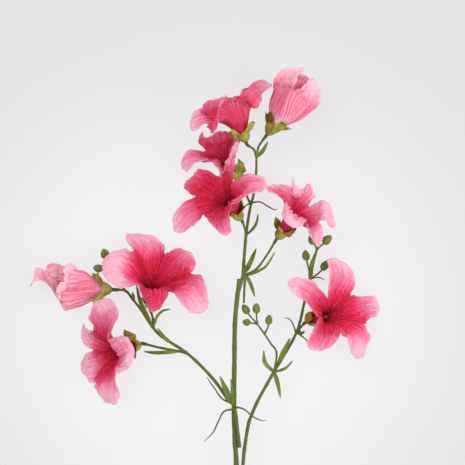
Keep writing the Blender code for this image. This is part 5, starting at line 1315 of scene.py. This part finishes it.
def stem_finish():
    """Stalks, leaves and buds: green low down and olive-brown higher up, with ridges and down."""
    look = Finish("green_stem")
    around, _, kind = look.attribute("grain")
    own = look.own_place()
    patches = look.noise(own, 70.0, 3.0)
    down = look.noise(own, 1000.0, 3.0, 0.6)
    level = look.stirred(look.held(look.parts(own)[1], -0.12, 0.16), patches, 0.7)
    leafy, budding = look.held(kind, 0.2, 0.8), look.held(kind, 1.2, 1.8)
    colour = look.mixed(leafy, look.ramp(level, STALK_GREENS), look.ramp(patches, LEAF_GREENS))
    colour = look.mixed(budding, colour, look.ramp(patches, BUD_GREENS))
    seam = look.figure("POWER", look.lines(around, RIBS * np.pi), 3.0)
    seam = look.times(seam, look.held(kind, 1.2, 1.8, 0.18, 0.5))
    colour = look.mixed(seam, colour, tone(62, 66, 34))
    colour = look.mixed(look.held(down, 0.45, 0.75, 0.0, 0.25), colour, tone(70, 84, 40))
    colour = look.mixed(look.times(look.attribute("shade")[0], 0.65), colour, tone(48, 56, 32))
    height = look.figure("MULTIPLY_ADD", look.waves(around, RIBS * np.pi), 0.5, down)
    look.surface(base_color=colour, roughness=0.6, normal=look.bumped(height, 0.0003, 0.6),
                 sheen_weight=0.05, sheen_tint=tone(205, 215, 175), specular_ior_level=0.2)
    return look.material


def pistil_finish():
    """Style and anthers: red at the foot and amber at the knob, a little moist."""
    look = Finish("amber_pistil")
    speckle = look.noise(look.own_place(), 1500.0, 2.0)
    colour = look.ramp(look.attribute("grain")[1], AMBER)
    colour = look.mixed(look.held(speckle, 0.45, 0.75, 0.0, 0.4), colour, tone(206, 144, 74))
    look.surface(base_color=colour, roughness=0.45, normal=look.bumped(speckle, 0.0003, 0.6),
                 specular_ior_level=0.5)
    return look.material


# The studio in metres: its floor, the glow near and far, the lamps and the place that they face.
FLOOR_SIZE, FLOOR_HEIGHT = 6.0, -0.0002
FLOOR_NEAR, FLOOR_FAR = (0.06, 0.745), (0.3, 0.61)
LAMPS = (("wide_lamp", 10.0, 1.1, (-0.5, 0.6, 1.35)), ("low_lamp", 7.5, 0.8, (0.9, -0.1, 0.8)))
LIT_PLACE = (0.02, 0.07, 0.03)


def studio_floor():
    """A plain pale floor that glows a little, least beyond its far distance from the middle."""
    bpy.ops.mesh.primitive_plane_add(size=FLOOR_SIZE, location=(0.0, 0.0, FLOOR_HEIGHT))
    floor = bpy.context.object
    floor.name = "studio_floor"
    paint = Finish("studio_floor_paint")
    away = paint.tree.nodes.new("ShaderNodeVectorMath")
    away.operation = "LENGTH"
    paint.feed(away.inputs[0], paint.own_place())
    (near, bright), (far, dim) = FLOOR_NEAR, FLOOR_FAR
    paint.surface(base_color=(0.13, 0.13, 0.132, 1.0), roughness=0.9, specular_ior_level=0.1,
                  emission_strength=paint.held(away.outputs["Value"], near, far, bright, dim),
                  emission_color=(1.0, 0.985, 0.992, 1.0))
    floor.data.materials.append(paint.material)


def studio_light():
    """An even sky and two soft square lamps, each turned to face the spray."""
    world = bpy.data.worlds.new("studio_sky")
    world.use_nodes = True
    sky = world.node_tree.nodes["Background"]
    sky.inputs["Color"].default_value = (0.97, 0.98, 1.0, 1.0)
    sky.inputs["Strength"].default_value = 0.78
    bpy.context.scene.world = world
    for title, energy, size, place in LAMPS:
        lamp = bpy.data.lights.new(title, "AREA")
        lamp.energy = energy
        lamp.size = size
        holder = bpy.data.objects.new(title, lamp)
        bpy.context.scene.collection.objects.link(holder)
        holder.location = place
        toward = np.array(LIT_PLACE) - np.array(place)
        pitch = np.arctan2(np.hypot(toward[0], toward[1]), -toward[2])
        holder.rotation_euler = (pitch, 0.0, np.arctan2(-toward[0], toward[1]))


def picture_camera():
    """The camera straight above the spray, looking down, with the picture's up along +Y."""
    lens = bpy.data.cameras.new("picture_camera")
    lens.type = "PERSP"
    lens.lens = LENS
    lens.sensor_width = SENSOR
    lens.clip_start = 0.05
    camera = bpy.data.objects.new("picture_camera", lens)
    camera.location = (FOOTPRINT_SHIFT[0] * MM, FOOTPRINT_SHIFT[1] * MM, CAMERA_HEIGHT * MM)
    bpy.context.scene.collection.objects.link(camera)
    bpy.context.scene.camera = camera
    bpy.context.scene.view_settings.view_transform = "Standard"


def dress():
    """Every piece of the spray, riding on its body and standing for its node."""
    pale, rose = petal_finish("pale_petal", PALE), petal_finish("rose_petal", ROSE)
    downy, green, amber = sepal_finish(), stem_finish(), pistil_finish()
    for name, pieces in STEMS.items():
        made = stem_piece(name + "_growth", pieces, green)
        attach(made, "root")
        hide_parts(name)
    for number, bloom in BLOOMS.items():
        closed = bloom.tube == HALF_SHUT
        seed = int(number)
        made = (
            (petals("petals_" + number, bloom, seed, pale if closed else rose), "corolla_",
             "petal_pale_pink" if closed else "petal_pink"),
            (sepals("sepals_" + number, bloom, seed, downy), "calyx_", "sepal_olive"),
            (pistil_piece("style_" + number, bloom, amber), "pistil_", "pistil_amber"),
        )
        for piece, node, slot in made:
            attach(piece, "root")
            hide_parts(node + number)


dress()
studio_floor()
studio_light()
picture_camera()
